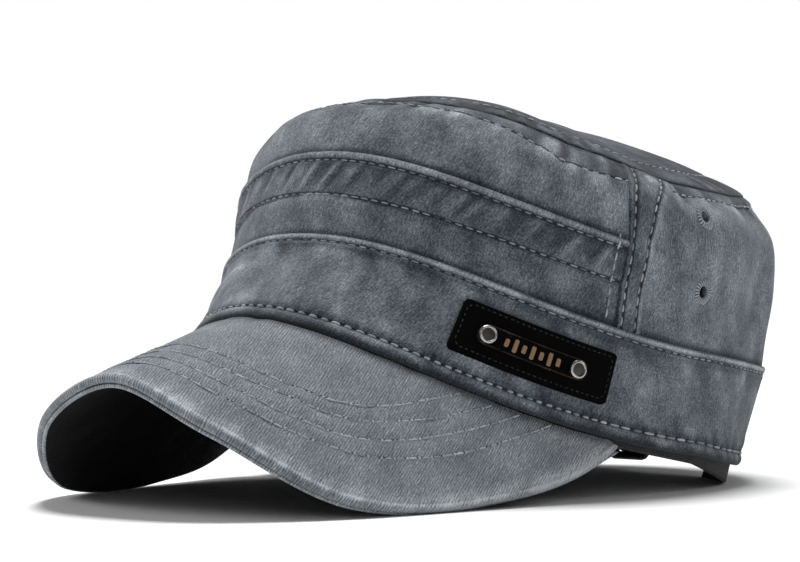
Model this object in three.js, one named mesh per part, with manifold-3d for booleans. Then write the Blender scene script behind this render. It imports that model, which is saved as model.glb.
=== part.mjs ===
// A flat-topped cloth cap with a curved visor, a rivetted leather patch and a back strap.
// Millimetres, +Z up. The visor points along -Y, and the patch is on the wearer's left, +X.
import * as THREE from "three";
import { mergeVertices } from "three/addons/utils/BufferGeometryUtils.js";
import Module from "manifold-3d";

const wasm = await Module();
wasm.setup();

// Lines round the crown, from the rim to the seam of the top panel. Each is a rounded oval:
// half width along X, reach to the front and back, squareness, and five heights.
const LEVELS = [
  { line: "rim", level: 0, halfWidth: 78.0, front: -113.1, back: 75.6, power: 2.0,
    zFront: 55.4, zOblique: 34.2, zSide: 11.2, zRear: 4.9, zBack: 4.3 },
  { line: "band top", level: 1, halfWidth: 79.0, front: -87.8, back: 91.9, power: 2.13,
    zFront: 78.8, zOblique: 62.9, zSide: 42.3, zRear: 34.1, zBack: 30.6 },
  { line: "tuck bottom", level: 1.5, halfWidth: 79.7, front: -83.6, back: 97.7, power: 2.03,
    zFront: 91.3, zOblique: 76.3, zSide: 55.8, zRear: 46.4, zBack: 44.2 },
  { line: "tuck top", level: 1.9, halfWidth: 81.2, front: -76.5, back: 98.2, power: 2.08,
    zFront: 103.1, zOblique: 87.4, zSide: 68.6, zRear: 59.5, zBack: 57.9 },
  { line: "shoulder", level: 2.4, halfWidth: 79.6, front: -67.0, back: 96.8, power: 2.22,
    zFront: 117.2, zOblique: 101.8, zSide: 84.8, zRear: 74.5, zBack: 74.7 },
  { line: "top seam", level: 3, halfWidth: 67.5, front: -50.3, back: 94.7, power: 2.2,
    zFront: 120.3, zOblique: 111.0, zSide: 95.2, zRear: 91.0, zBack: 92.1 },
];
const CROWN_CENTRE_Y = 6.8;
const TOP_DOME = 14.6;

// Soft dents and folds of the crown: where, how deep (+ is out) and how far they spread.
const FOLDS = [
  { angle: 54, level: 2.75, height: -1.6, spreadAngle: 9, spreadLevel: 0.3 },
  { angle: 30, level: 2.7, height: 1.0, spreadAngle: 10, spreadLevel: 0.3 },
  { angle: 112, level: 1.9, height: -1.8, spreadAngle: 5, spreadLevel: 0.7 },
  { angle: 121, level: 1.7, height: 1.4, spreadAngle: 5, spreadLevel: 0.8 },
  { angle: 132, level: 2.1, height: -1.4, spreadAngle: 6, spreadLevel: 0.6 },
  { angle: -52, level: 2.7, height: -1.4, spreadAngle: 10, spreadLevel: 0.3 },
  { angle: -115, level: 1.9, height: -1.6, spreadAngle: 6, spreadLevel: 0.7 },
  { angle: -128, level: 1.8, height: 1.3, spreadAngle: 6, spreadLevel: 0.8 },
];

// The visor: where it leaves the rim, and the path of its free edge from the middle outward.
const VISOR_TIP_ANGLE = 71.2;
const VISOR_TIP_WIDTH = 2.6;
const VISOR_EDGE = [
  { station: 0, x: 0, y: -170.7, z: 40.2 },
  { station: 0.28, x: 34.8, y: -164.7, z: 26.2 },
  { station: 0.55, x: 60.8, y: -133.0, z: 4.5 },
  { station: 0.78, x: 69.9, y: -86.3, z: 2.0 },
  { station: 0.95, x: 75.4, y: -44.5, z: 10.4 },
];
const VISOR_TOP_THICKNESS = 2.6;
const VISOR_UNDER_THICKNESS = 1.3;

const GAP = 0.3;
const CLOTH = 1.8;

// The band's wall from the rolled hem up to the folded ridge that laps over the panels.
const BAND_PROFILE = [
  { level: 0, out: 0.1, in: -CLOTH },
  { level: 0.03, out: 0.8, in: -CLOTH },
  { level: 0.09, out: 0.9, in: -CLOTH },
  { level: 0.14, out: 0, in: -CLOTH },
  { level: 0.5, out: 0.2, in: -CLOTH },
  { level: 0.89, out: 0.6, in: -CLOTH },
  { level: 0.9, out: 1.3, in: GAP },
  { level: 1.0, out: 1.6, in: GAP },
  { level: 1.04, out: 1.1, in: GAP },
];
const PANEL_LEVELS = [0.92, 1, 1.2, 1.5, 1.9, 2.15, 2.4, 2.7, 3];
const COLUMN_ANGLE = 6;
const TOP_RINGS = [0, 0.15, 0.4, 0.7, 1];

// The side seam: a flat-felled strip over the joint of the front and back panels.
const SEAM_STRIP = [
  { level: 1.08, front: 69.0, rear: 72.4 },
  { level: 1.5, front: 68.5, rear: 72.3 },
  { level: 2.0, front: 68.3, rear: 72.9 },
  { level: 2.4, front: 68.6, rear: 75.0 },
  { level: 2.8, front: 70.4, rear: 79.0 },
  { level: 2.95, front: 71.5, rear: 81.5 },
];
const PANEL_JOINT_ANGLE = 70.5;
const SEAM_STRIP_THICKNESS = 1.0;

const TUCK = { bottom: 1.5, top: 1.93, end: 67.6, thickness: 1.1, ridge: 1.8, ridgeLevels: 0.12 };

const EYELET_PLACES = [
  { name: "eyelet_left_upper", angle: 90, level: 2.39 },
  { name: "eyelet_left_lower", angle: 88.8, level: 1.68 },
  { name: "eyelet_right_upper", angle: -90, level: 2.39 },
  { name: "eyelet_right_lower", angle: -88.8, level: 1.68 },
];
const EYELET_HOLE = 1.6;
const EYELET_SIDES = 12;
const EYELET_PROFILE = [
  { radius: 1.9, height: 0 }, { radius: 3.3, height: 0 }, { radius: 3.3, height: 0.5 },
  { radius: 2.6, height: 1.0 }, { radius: 1.9, height: 0.5 }, { radius: 1.9, height: 0 },
];

// The patch, the raised strip on it and the rivets through both.
const PATCH = {
  angleStart: 38.4, angleEnd: 68.7, levelLow: 0.28, levelHigh: 0.785, corner: 1.8, thickness: 1.5,
};
const PATCH_PLATE = {
  angleStart: 42.4, angleEnd: 63.6, levelLow: 0.42, levelHigh: 0.62, corner: 3.2, thickness: 0.6,
};
const SIDE_MM_PER_DEGREE = 1.55;
const RIVET_PLACES = [{ name: "rivet_front", angle: 44.2 }, { name: "rivet_rear", angle: 61.4 }];
const RIVET_LEVEL = 0.515;
const RIVET_SIDES = 16;
const RIVET_PROFILE = [
  { radius: 0, height: 0 }, { radius: 2.8, height: 0 }, { radius: 2.8, height: 0.5 },
  { radius: 2.6, height: 1.1 }, { radius: 2.1, height: 1.3 }, { radius: 1.8, height: 0.9 },
  { radius: 0, height: 0.9 },
];

// The sweatband hangs inside the band, and drops below the rim towards the back.
const SWEATBAND = {
  end: 146.5, top: 0.82, thickness: 1.2, front: 0.05, rear: -0.2, dropStart: 78, dropEnd: 132,
};

// The half-round opening at the back, its bound edge, and the strap and buckle across it.
const OPENING = { halfAngle: 27, height: 1.42, roundness: 0.62 };
const BINDING = { width: 1.9, in: -1.7, out: 0.9 };
const STRAP = { thickness: 1.2, bottom: 0.02, top: 0.6 };
const BACK_MM_PER_DEGREE = 1.37;
const BAND_MM_PER_LEVEL = 32.8;
const CUTTER = { foot: -0.5, inside: -8, outside: 6 };
const BUCKLE = { halfWidth: 8.3, bar: 1.6, depth: -1.5, rail: 2.4, step: 3 };
const STRAP_LEFT_PATH = [
  { along: 44.9, depth: -2.75 }, { along: 36, depth: -2.75 }, { along: 24, depth: -2.95 },
  { along: 14, depth: -3.2 }, { along: 6.2, depth: -3.3 }, { along: 1.6, depth: 0.3 },
  { along: -1.5, depth: 0.3 }, { along: -4.6, depth: -5.05 }, { along: -15, depth: -5.05 },
  { along: -27, depth: -5.05 },
];
const STRAP_RIGHT_PATH = [
  { along: -44.9, depth: -2.75 }, { along: -36, depth: -2.75 }, { along: -28, depth: -3.2 },
  { along: -20, depth: -3.53 }, { along: -7.5, depth: -3.53 }, { along: -6.06, depth: -2.94 },
  { along: -5.47, depth: -1.5 }, { along: -6.06, depth: -0.06 }, { along: -7.5, depth: 0.53 },
  { along: -9.6, depth: 0.2 }, { along: -13, depth: -2.0 }, { along: -20, depth: -2.0 },
];

const COLOURS = {
  cloth: 0x6f7a86,
  tuck: 0x5b6470,
  visor: 0x7c8791,
  underside: 0x2b2e33,
  leather: 0x141414,
  metal: 0xb9bcc0,
  webbing: 0x1c1d20,
};

const rad = THREE.MathUtils.degToRad;

// Hermite curve through rows of numbers, with a three-point slope at each knot.
function smoothRow(knots, rows, x) {
  const last = knots.length - 1;
  const slope = (i, c) => {
    const step = (j) => (rows[j + 1][c] - rows[j][c]) / (knots[j + 1] - knots[j]);
    if (i === 0) return step(0);
    if (i === last) return step(last - 1);
    const before = knots[i] - knots[i - 1];
    const after = knots[i + 1] - knots[i];
    return (step(i - 1) * after + step(i) * before) / (before + after);
  };
  if (x <= knots[0]) return rows[0].map((v, c) => v + slope(0, c) * (x - knots[0]));
  if (x >= knots[last]) return rows[last].map((v, c) => v + slope(last, c) * (x - knots[last]));
  const i = Math.max(0, knots.findIndex((k) => k > x) - 1);
  const h = knots[i + 1] - knots[i];
  const s = (x - knots[i]) / h;
  const a = 2 * s ** 3 - 3 * s ** 2 + 1;
  const b = s ** 3 - 2 * s ** 2 + s;
  const c = s ** 3 - s ** 2;
  return rows[i].map((v, n) => {
    const bend = b * slope(i, n) + c * slope(i + 1, n);
    return a * v + (1 - a) * rows[i + 1][n] + h * bend;
  });
}

// Straight-line reading of one column of a table against another.
function lookUp(table, key, column, x) {
  if (x <= table[0][key]) return table[0][column];
  for (let i = 1; i < table.length; i++) {
    if (x <= table[i][key]) {
      const s = (x - table[i - 1][key]) / (table[i][key] - table[i - 1][key]);
      return table[i - 1][column] * (1 - s) + table[i][column] * s;
    }
  }
  return table[table.length - 1][column];
}

// Height of a line round the crown: a cosine series through its five given heights.
function lineHeight(row, angle) {
  const z = [row.zFront, row.zOblique, row.zSide, row.zRear, row.zBack];
  let height = 0;
  for (let k = 0; k <= 4; k++) {
    let a = (z[0] + (k % 2 ? -1 : 1) * z[4]) / 2;
    for (let j = 1; j <= 3; j++) a += z[j] * Math.cos((k * j * Math.PI) / 4);
    height += (a / (k === 0 || k === 4 ? 4 : 2)) * Math.cos(k * angle);
  }
  return height;
}

function linePoint(row, degrees) {
  const angle = rad(degrees);
  const c = Math.cos(angle);
  const s = Math.sin(angle);
  const round = (v) => Math.sign(v) * Math.abs(v) ** (2 / row.power);
  const reach = c > 0 ? CROWN_CENTRE_Y - row.front : row.back - CROWN_CENTRE_Y;
  return [row.halfWidth * round(s), CROWN_CENTRE_Y - reach * round(c), lineHeight(row, angle)];
}

const KNOTS = LEVELS.map((row) => row.level);

function bareCrown(degrees, level) {
  const rows = LEVELS.map((row) => linePoint(row, degrees));
  return new THREE.Vector3(...smoothRow(KNOTS, rows, level));
}

function foldHeight(degrees, level) {
  let height = 0;
  for (const fold of FOLDS) {
    const away = THREE.MathUtils.euclideanModulo(degrees - fold.angle + 180, 360) - 180;
    const a = away / fold.spreadAngle;
    const b = (level - fold.level) / fold.spreadLevel;
    height += fold.height * Math.exp(-a * a - b * b);
  }
  return height;
}

// Unit normal of a surface given as a function of two coordinates.
function normalOf(surface, u, v, du, dv) {
  const alongU = surface(u + du, v).sub(surface(u - du, v));
  const alongV = surface(u, v + dv).sub(surface(u, v - dv));
  return alongU.cross(alongV).normalize();
}

function foldedCrown(degrees, level) {
  const normal = normalOf(bareCrown, degrees, level, 0.5, 0.02);
  return bareCrown(degrees, level).addScaledVector(normal, foldHeight(degrees, level));
}

function crownNormal(degrees, level) {
  return normalOf(foldedCrown, degrees, level, 0.5, 0.02);
}

// A point on the crown's cloth, moved out of the surface by an offset.
function onCrown(degrees, level, offset = 0) {
  return foldedCrown(degrees, level).addScaledVector(crownNormal(degrees, level), offset);
}

const TOP_CENTRE = (() => {
  const sum = new THREE.Vector3();
  const count = 72;
  for (let i = 0; i < count; i++) sum.add(bareCrown((i * 360) / count, 3));
  return sum.divideScalar(count);
})();

// The domed top panel: from the seam (inward 0) to its middle (inward 1).
function topSurface(degrees, inward) {
  const point = foldedCrown(degrees, 3).lerp(TOP_CENTRE, inward);
  point.z += TOP_DOME * (1 - (1 - inward) ** 2);
  return point;
}

function onTop(degrees, inward, offset) {
  const nearMiddle = Math.min(inward, 0.96);
  const normal = normalOf(topSurface, degrees, nearMiddle, 0.5, 0.01);
  return topSurface(degrees, inward).addScaledVector(normal, offset);
}

// At the top seam the wall and the top share one direction, so that they meet in a mitre.
function seamMitre(degrees, face) {
  const crown = crownNormal(degrees, 3);
  const top = normalOf(topSurface, degrees, 0.02, 0.5, 0.01);
  const shared = crown.clone().add(top).normalize();
  return shared.divideScalar(Math.max(0.5, shared.dot(face === "top" ? top : crown)));
}

const EDGE_ROWS = (() => {
  const tip = foldedCrown(VISOR_TIP_ANGLE, 0);
  const out = crownNormal(VISOR_TIP_ANGLE, 0);
  const far = tip.clone().add(new THREE.Vector3(out.x, out.y, 0).setLength(VISOR_TIP_WIDTH));
  const half = VISOR_EDGE.map((row) => [row.station, row.x, row.y, row.z]);
  half.push([1, far.x, far.y, far.z - 1]);
  const mirrored = half.slice(1).reverse().map(([s, x, y, z]) => [-s, -x, y, z]);
  return mirrored.concat(half);
})();
const EDGE_KNOTS = EDGE_ROWS.map((row) => row[0]);
const EDGE_POINTS = EDGE_ROWS.map((row) => row.slice(1));

// The visor is ruled straight from the rim (across 0) to its free edge (across 1).
function visorSurface(station, across) {
  const inner = foldedCrown(station * VISOR_TIP_ANGLE, 0);
  const outer = new THREE.Vector3(...smoothRow(EDGE_KNOTS, EDGE_POINTS, station));
  const start = (2 * GAP) / inner.distanceTo(outer);
  return inner.lerp(outer, start + (1 - start) * across);
}

function visorNormal(station, across) {
  const normal = normalOf(visorSurface, station, across, 0.005, 0.02);
  return normal.z < 0 ? normal.negate() : normal;
}

// Direction shared by the band's lower edge and the visor's inner edge, so that they butt.
function mitre(degrees, own) {
  const edge = Math.abs(degrees) / VISOR_TIP_ANGLE;
  const fade = THREE.MathUtils.smoothstep(1 - edge, 0, 0.12);
  const crown = crownNormal(degrees, 0);
  if (fade === 0) return crown;
  const visor = visorNormal(degrees / VISOR_TIP_ANGLE, 0.03);
  const shared = crown.clone().addScaledVector(visor, fade).normalize();
  return shared.divideScalar(Math.max(0.6, shared.dot(own ?? crown)));
}

function onVisor(station, across, depth) {
  const base = visorSurface(station, across);
  const normal = visorNormal(station, across);
  if (across > 0) return base.addScaledVector(normal, -depth);
  return base.addScaledVector(mitre(station * VISOR_TIP_ANGLE, normal), -depth);
}

function spread(from, to, count) {
  return Array.from({ length: count + 1 }, (_, i) => from + ((to - from) * i) / count);
}

// A closed solid between two grids of points; a closed loop joins its last column to its first.
function gridSolid(outer, inner, loop = false) {
  const columns = outer.length;
  const rows = outer[0].length;
  const points = [...outer.flat(), ...inner.flat()];
  const at = (side, i, j) => side * columns * rows + (i % columns) * rows + j;
  const triangles = [];
  const quad = (a, b, c, d) => triangles.push([a, b, c], [a, c, d]);
  const last = loop ? columns : columns - 1;
  for (let i = 0; i < last; i++) {
    for (let j = 0; j < rows - 1; j++) {
      quad(at(0, i, j), at(0, i + 1, j), at(0, i + 1, j + 1), at(0, i, j + 1));
      quad(at(1, i, j), at(1, i, j + 1), at(1, i + 1, j + 1), at(1, i + 1, j));
    }
    quad(at(0, i, 0), at(1, i, 0), at(1, i + 1, 0), at(0, i + 1, 0));
    quad(at(0, i, rows - 1), at(0, i + 1, rows - 1), at(1, i + 1, rows - 1), at(1, i, rows - 1));
  }
  for (let j = 0; !loop && j < rows - 1; j++) {
    quad(at(0, 0, j), at(0, 0, j + 1), at(1, 0, j + 1), at(1, 0, j));
    quad(at(0, last, j), at(1, last, j), at(1, last, j + 1), at(0, last, j + 1));
  }
  return weld(points, triangles);
}

// One indexed geometry with shared corners, no collapsed triangles and faces pointing out.
function weld(points, triangles) {
  const loose = new THREE.BufferGeometry().setFromPoints(points);
  loose.setIndex(triangles.flat());
  const merged = mergeVertices(loose, 1e-4);
  const position = merged.getAttribute("position");
  const index = merged.getIndex().array;
  const corner = (i) => new THREE.Vector3().fromBufferAttribute(position, i);
  const kept = [];
  let volume = 0;
  for (let i = 0; i < index.length; i += 3) {
    const [a, b, c] = index.slice(i, i + 3);
    if (a === b || b === c || c === a) continue;
    kept.push([a, b, c]);
    volume += corner(a).dot(corner(b).cross(corner(c)));
  }
  merged.setIndex(kept.map((t) => (volume < 0 ? [t[0], t[2], t[1]] : t)).flat());
  return merged;
}

function toSolid(geometry) {
  const bare = geometry.clone();
  bare.deleteAttribute("normal");
  bare.deleteAttribute("uv");
  const merged = mergeVertices(bare, 1e-4);
  return new wasm.Manifold(new wasm.Mesh({
    numProp: 3,
    vertProperties: Float32Array.from(merged.getAttribute("position").array),
    triVerts: Uint32Array.from(merged.getIndex().array),
  }));
}

function fromSolid(solid) {
  const mesh = solid.getMesh();
  const geometry = new THREE.BufferGeometry();
  geometry.setAttribute("position", new THREE.BufferAttribute(mesh.vertProperties, 3));
  geometry.setIndex(new THREE.BufferAttribute(mesh.triVerts, 1));
  return geometry;
}

const cut = (geometry, ...tools) =>
  fromSolid(tools.reduce((solid, tool) => solid.subtract(toSolid(tool)), toSolid(geometry)));

// Cloth rests flat where it meets the surface below.
function restFlat(geometry) {
  const size = 500;
  const depth = 50;
  const slab = new THREE.BoxGeometry(size, size, depth).translate(0, 0, -depth / 2);
  return cut(geometry, slab);
}

function makeBand() {
  const angles = spread(-180, 180, 360 / COLUMN_ANGLE);
  angles.pop();
  const side = (offset) => angles.map((angle) => BAND_PROFILE.map((row) => {
    if (row.level > 0) return onCrown(angle, row.level, row[offset]);
    return foldedCrown(angle, 0).addScaledVector(mitre(angle), row[offset]);
  }));
  return cut(gridSolid(side("out"), side("in"), true), openingCutter());
}

// A plate laid on the crown: columns of angle, lowest and highest level, between two offsets.
function crownPlate(columns, rows, low, high) {
  const side = (offsetAt) => columns.map(({ angle, bottom, top }) =>
    spread(bottom, top, rows).map((level) => onCrown(angle, level, offsetAt(level))));
  return gridSolid(side(high), side(low));
}

// Columns of a rounded rectangle, closer together at its corners.
function roundedColumns({ angleStart, angleEnd, levelLow, levelHigh, corner }) {
  const radiusAngle = corner / SIDE_MM_PER_DEGREE;
  const radiusLevel = corner / BAND_MM_PER_LEVEL;
  const corners = (edge, inward) => spread(0, 90, 3).map(rad).map((turn) => ({
    angle: edge + inward * radiusAngle * (1 - Math.sin(turn)),
    trim: radiusLevel * (1 - Math.cos(turn)),
  }));
  const count = Math.round((2 * (angleEnd - angleStart)) / COLUMN_ANGLE);
  const middle = spread(angleStart + radiusAngle, angleEnd - radiusAngle, count).slice(1, -1);
  const straight = middle.map((angle) => ({ angle, trim: 0 }));
  const columns = [...corners(angleStart, 1).reverse(), ...straight, ...corners(angleEnd, -1)];
  return columns.map(({ angle, trim }) => ({ angle, bottom: levelLow + trim, top: levelHigh - trim }));
}

const bandFace = (level) => lookUp(BAND_PROFILE, "level", "out", level);

function patchPlate(plate, base) {
  const low = (level) => bandFace(level) + base;
  const high = (level) => bandFace(level) + base + plate.thickness;
  return crownPlate(roundedColumns(plate), 4, low, high);
}

// The opening's edge at the back; an inset moves it inward, and lift raises its foot.
function openingEdge(turn, inset) {
  const reach = OPENING.halfAngle - inset / BACK_MM_PER_DEGREE;
  const rise = OPENING.height - inset / BAND_MM_PER_LEVEL;
  return { angle: 180 - reach * Math.cos(turn), level: rise * Math.sin(turn) ** OPENING.roundness };
}

function openingCutter() {
  const columns = spread(0, Math.PI, 24).map((turn) => {
    const { angle, level } = openingEdge(turn, 0);
    return { angle, bottom: CUTTER.foot, top: level };
  });
  return crownPlate(columns, 5, () => CUTTER.inside, () => CUTTER.outside);
}

function makeBinding() {
  const foot = 0.02;
  const side = (inset) => spread(foot, Math.PI - foot, 28).map((turn) => {
    const { angle, level } = openingEdge(turn, inset);
    const height = Math.max(level, foot);
    return spread(BINDING.in, BINDING.out, 2).map((offset) => onCrown(angle, height, offset));
  });
  return gridSolid(side(GAP), side(GAP + BINDING.width));
}

// A strap of constant thickness along a path of places across the back and depths.
function makeStrap(path) {
  const unit = (a, b) => new THREE.Vector2(b.along - a.along, b.depth - a.depth).normalize();
  const half = STRAP.thickness / 2;
  const side = (sign) => path.map((place, i) => {
    const before = unit(path[Math.max(i - 1, 0)], path[Math.max(i, 1)]);
    const after = unit(path[Math.min(i, path.length - 2)], path[Math.min(i + 1, path.length - 1)]);
    const across = before.clone().add(after).normalize();
    const stretch = (sign * half) / Math.max(0.5, across.dot(before));
    const angle = 180 - (place.along - across.y * stretch) / BACK_MM_PER_DEGREE;
    const depth = place.depth + across.x * stretch;
    return spread(STRAP.bottom, STRAP.top, 4).map((level) => onCrown(angle, level, depth));
  });
  return gridSolid(side(1), side(-1));
}

// A rounded rectangle as a loop of points, its straight sides split into short steps.
function roundedLoop(left, right, low, high, radius) {
  const centres = [[right - radius, high - radius], [left + radius, high - radius],
    [left + radius, low + radius], [right - radius, low + radius]];
  const onCorner = ([x, y], degrees) =>
    new THREE.Vector2(x + radius * Math.cos(rad(degrees)), y + radius * Math.sin(rad(degrees)));
  const corners = centres.map((centre, i) =>
    spread(i * 90, i * 90 + 90, 2).map((degrees) => onCorner(centre, degrees)));
  return corners.flatMap((corner, i) => {
    const from = corner[corner.length - 1];
    const to = corners[(i + 1) % 4][0];
    const count = Math.max(1, Math.round(from.distanceTo(to) / BUCKLE.step));
    const straight = spread(0, 1, count).slice(1, -1).map((s) => from.clone().lerp(to, s));
    return [...corner, ...straight];
  });
}

// A slide buckle: a rounded frame with a bar down its middle, bent to the back of the cap.
function makeBuckle() {
  const { halfWidth, bar, rail, depth } = BUCKLE;
  const low = STRAP.bottom * BAND_MM_PER_LEVEL - GAP;
  const high = STRAP.top * BAND_MM_PER_LEVEL + GAP;
  const frame = new THREE.Shape(roundedLoop(-halfWidth, halfWidth, low - rail, high + rail, rail));
  const window = (left, right) => new THREE.Path(roundedLoop(left, right, low, high, bar / 4).reverse());
  frame.holes.push(window(bar - halfWidth, -bar / 2), window(bar / 2, halfWidth - bar));
  const settings = { depth: bar, bevelEnabled: false, steps: 1 };
  const plate = new THREE.ExtrudeGeometry(frame, settings).scale(-1, 1, -1);
  plate.deleteAttribute("normal");
  plate.deleteAttribute("uv");
  const flat = mergeVertices(plate, 1e-4);
  const position = flat.getAttribute("position");
  for (let i = 0; i < position.count; i++) {
    const angle = 180 + position.getX(i) / BACK_MM_PER_DEGREE;
    const point = onCrown(angle, position.getY(i) / BAND_MM_PER_LEVEL, depth + bar / 2 + position.getZ(i));
    position.setXYZ(i, point.x, point.y, point.z);
  }
  return flat;
}

function makeTopPanel() {
  const angles = spread(0, 360, 360 / COLUMN_ANGLE).slice(0, -1);
  const startInward = 0.008;
  const side = (offset) => angles.map((angle) => TOP_RINGS.map((ring) => {
    if (ring > 0) return onTop(angle, ring, offset);
    return topSurface(angle, startInward).addScaledVector(seamMitre(angle, "top"), offset);
  }));
  return gridSolid(side(0), side(-CLOTH), true);
}

function panelWall(from, to) {
  const count = Math.round((to - from) / COLUMN_ANGLE);
  const side = (offset) => spread(from, to, count).map((angle) => PANEL_LEVELS.map((level) => {
    if (level < 3) return onCrown(angle, level, offset);
    return foldedCrown(angle, 3).addScaledVector(seamMitre(angle, "wall"), offset);
  }));
  return gridSolid(side(0), side(-CLOTH));
}

function makeVisor(from, to) {
  const stations = spread(-1, 1, 36);
  const side = (depth) => stations.map((station) =>
    spread(0, 1, 4).map((across) => onVisor(station, across, depth)));
  return gridSolid(side(from), side(to));
}

function makeSweatband() {
  const outer = -CLOTH - GAP;
  const low = (angle) => {
    const drop = THREE.MathUtils.smoothstep(Math.abs(angle), SWEATBAND.dropStart, SWEATBAND.dropEnd);
    return SWEATBAND.front + (SWEATBAND.rear - SWEATBAND.front) * drop;
  };
  const angles = spread(-SWEATBAND.end, SWEATBAND.end, 46);
  const columns = angles.map((angle) => ({ angle, bottom: low(angle), top: SWEATBAND.top }));
  return crownPlate(columns, 3, () => outer - SWEATBAND.thickness, () => outer);
}

function makeTuck() {
  const ridgeStart = TUCK.top - TUCK.ridgeLevels;
  const ridgeFull = TUCK.top - TUCK.ridgeLevels / 2;
  const face = (level) => {
    const ridge = THREE.MathUtils.smoothstep(level, ridgeStart, ridgeFull);
    return GAP + TUCK.thickness + (TUCK.ridge - TUCK.thickness) * ridge;
  };
  const angles = spread(-TUCK.end, TUCK.end, 27);
  const columns = angles.map((angle) => ({ angle, bottom: TUCK.bottom, top: TUCK.top }));
  return crownPlate(columns, 4, () => GAP, face);
}

// One column of the strip for each row of its table, taken across the seam.
function makeSeamStrip(sign) {
  const low = SEAM_STRIP[0].level;
  const high = SEAM_STRIP[SEAM_STRIP.length - 1].level;
  const levels = [low, ...PANEL_LEVELS.filter((level) => level > low && level < high), high];
  const side = (offset) => levels.map((level) => {
    const front = lookUp(SEAM_STRIP, "level", "front", level);
    const rear = lookUp(SEAM_STRIP, "level", "rear", level);
    return spread(front, rear, 2).map((angle) => onCrown(sign * angle, level, offset));
  });
  return gridSolid(side(GAP + SEAM_STRIP_THICKNESS), side(GAP));
}

// A turned piece, its axis along the crown's normal, seated at an offset from the cloth.
function placeOnCrown(geometry, { angle, level }, offset) {
  const up = new THREE.Vector3(0, 1, 0);
  const turn = new THREE.Quaternion().setFromUnitVectors(up, crownNormal(angle, level));
  const seat = onCrown(angle, level, offset);
  return geometry.applyQuaternion(turn).translate(seat.x, seat.y, seat.z);
}

function turned(profile, sides) {
  const points = profile.map(({ radius, height }) => new THREE.Vector2(radius, height));
  return new THREE.LatheGeometry(points, sides);
}

function eyeletCutter(place) {
  const through = 14;
  const hole = new THREE.CylinderGeometry(EYELET_HOLE, EYELET_HOLE, through, EYELET_SIDES);
  return placeOnCrown(hole, place, 0);
}

function makeRivet(angle) {
  const stack = PATCH.thickness + PATCH_PLATE.thickness + 3 * GAP;
  const place = { angle, level: RIVET_LEVEL };
  return placeOnCrown(turned(RIVET_PROFILE, RIVET_SIDES), place, bandFace(RIVET_LEVEL) + stack);
}

function material(colour, roughness, metalness = 0) {
  return new THREE.MeshStandardMaterial({ color: colour, roughness, metalness });
}

const cap = new THREE.Group();

function add(name, geometry, finish) {
  geometry.computeVertexNormals();
  const mesh = new THREE.Mesh(geometry, finish);
  mesh.name = name;
  cap.add(mesh);
}

const jointGap = GAP / 2 / SIDE_MM_PER_DEGREE;
const frontEnd = PANEL_JOINT_ANGLE - jointGap;
const rearEnd = PANEL_JOINT_ANGLE + jointGap;
const frontPanel = panelWall(-frontEnd, frontEnd);
const backPanel = cut(panelWall(rearEnd, 360 - rearEnd), openingCutter(), ...EYELET_PLACES.map(eyeletCutter));
const underDepth = VISOR_TOP_THICKNESS + GAP;
const visorTop = restFlat(makeVisor(0, VISOR_TOP_THICKNESS));
const visorUnder = restFlat(makeVisor(underDepth, underDepth + VISOR_UNDER_THICKNESS));
const platePatch = patchPlate(PATCH_PLATE, GAP + PATCH.thickness + GAP);

add("band", makeBand(), material(COLOURS.cloth, 0.9));
add("front_panel", frontPanel, material(COLOURS.cloth, 0.9));
add("back_panel", backPanel, material(COLOURS.cloth, 0.9));
add("top_panel", makeTopPanel(), material(COLOURS.cloth, 0.9));
add("tuck_strip", makeTuck(), material(COLOURS.tuck, 0.92));
add("side_seam_left", makeSeamStrip(1), material(COLOURS.cloth, 0.9));
add("side_seam_right", makeSeamStrip(-1), material(COLOURS.cloth, 0.9));
add("visor_top", visorTop, material(COLOURS.visor, 0.9));
add("visor_under", visorUnder, material(COLOURS.underside, 0.95));
add("sweatband", restFlat(makeSweatband()), material(COLOURS.webbing, 0.85));
add("opening_binding", makeBinding(), material(COLOURS.cloth, 0.9));
add("strap_left", makeStrap(STRAP_LEFT_PATH), material(COLOURS.webbing, 0.85));
add("strap_right", makeStrap(STRAP_RIGHT_PATH), material(COLOURS.webbing, 0.85));
add("buckle", makeBuckle(), material(COLOURS.metal, 0.35, 1));
add("patch", patchPlate(PATCH, GAP), material(COLOURS.leather, 0.6));
add("patch_plate", platePatch, material(COLOURS.leather, 0.5));
for (const { name, angle } of RIVET_PLACES) {
  add(name, makeRivet(angle), material(COLOURS.metal, 0.3, 1));
}
for (const place of EYELET_PLACES) {
  const ring = placeOnCrown(turned(EYELET_PROFILE, EYELET_SIDES), place, GAP);
  add(place.name, ring, material(COLOURS.cloth, 0.9));
}

const bounds = new THREE.Box3().setFromObject(cap);
const middle = bounds.getCenter(new THREE.Vector3());
cap.position.set(-middle.x, -middle.y, -bounds.min.z);

export default cap;
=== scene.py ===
"""A washed cotton cap with a flat crown and an arched visor, dressed over its measured frame."""

import logging
import math
from dataclasses import dataclass, replace
from enum import Enum
from functools import partial
from typing import Callable, Sequence

import bpy
import numpy as np
from mathutils import Matrix, Vector


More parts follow.
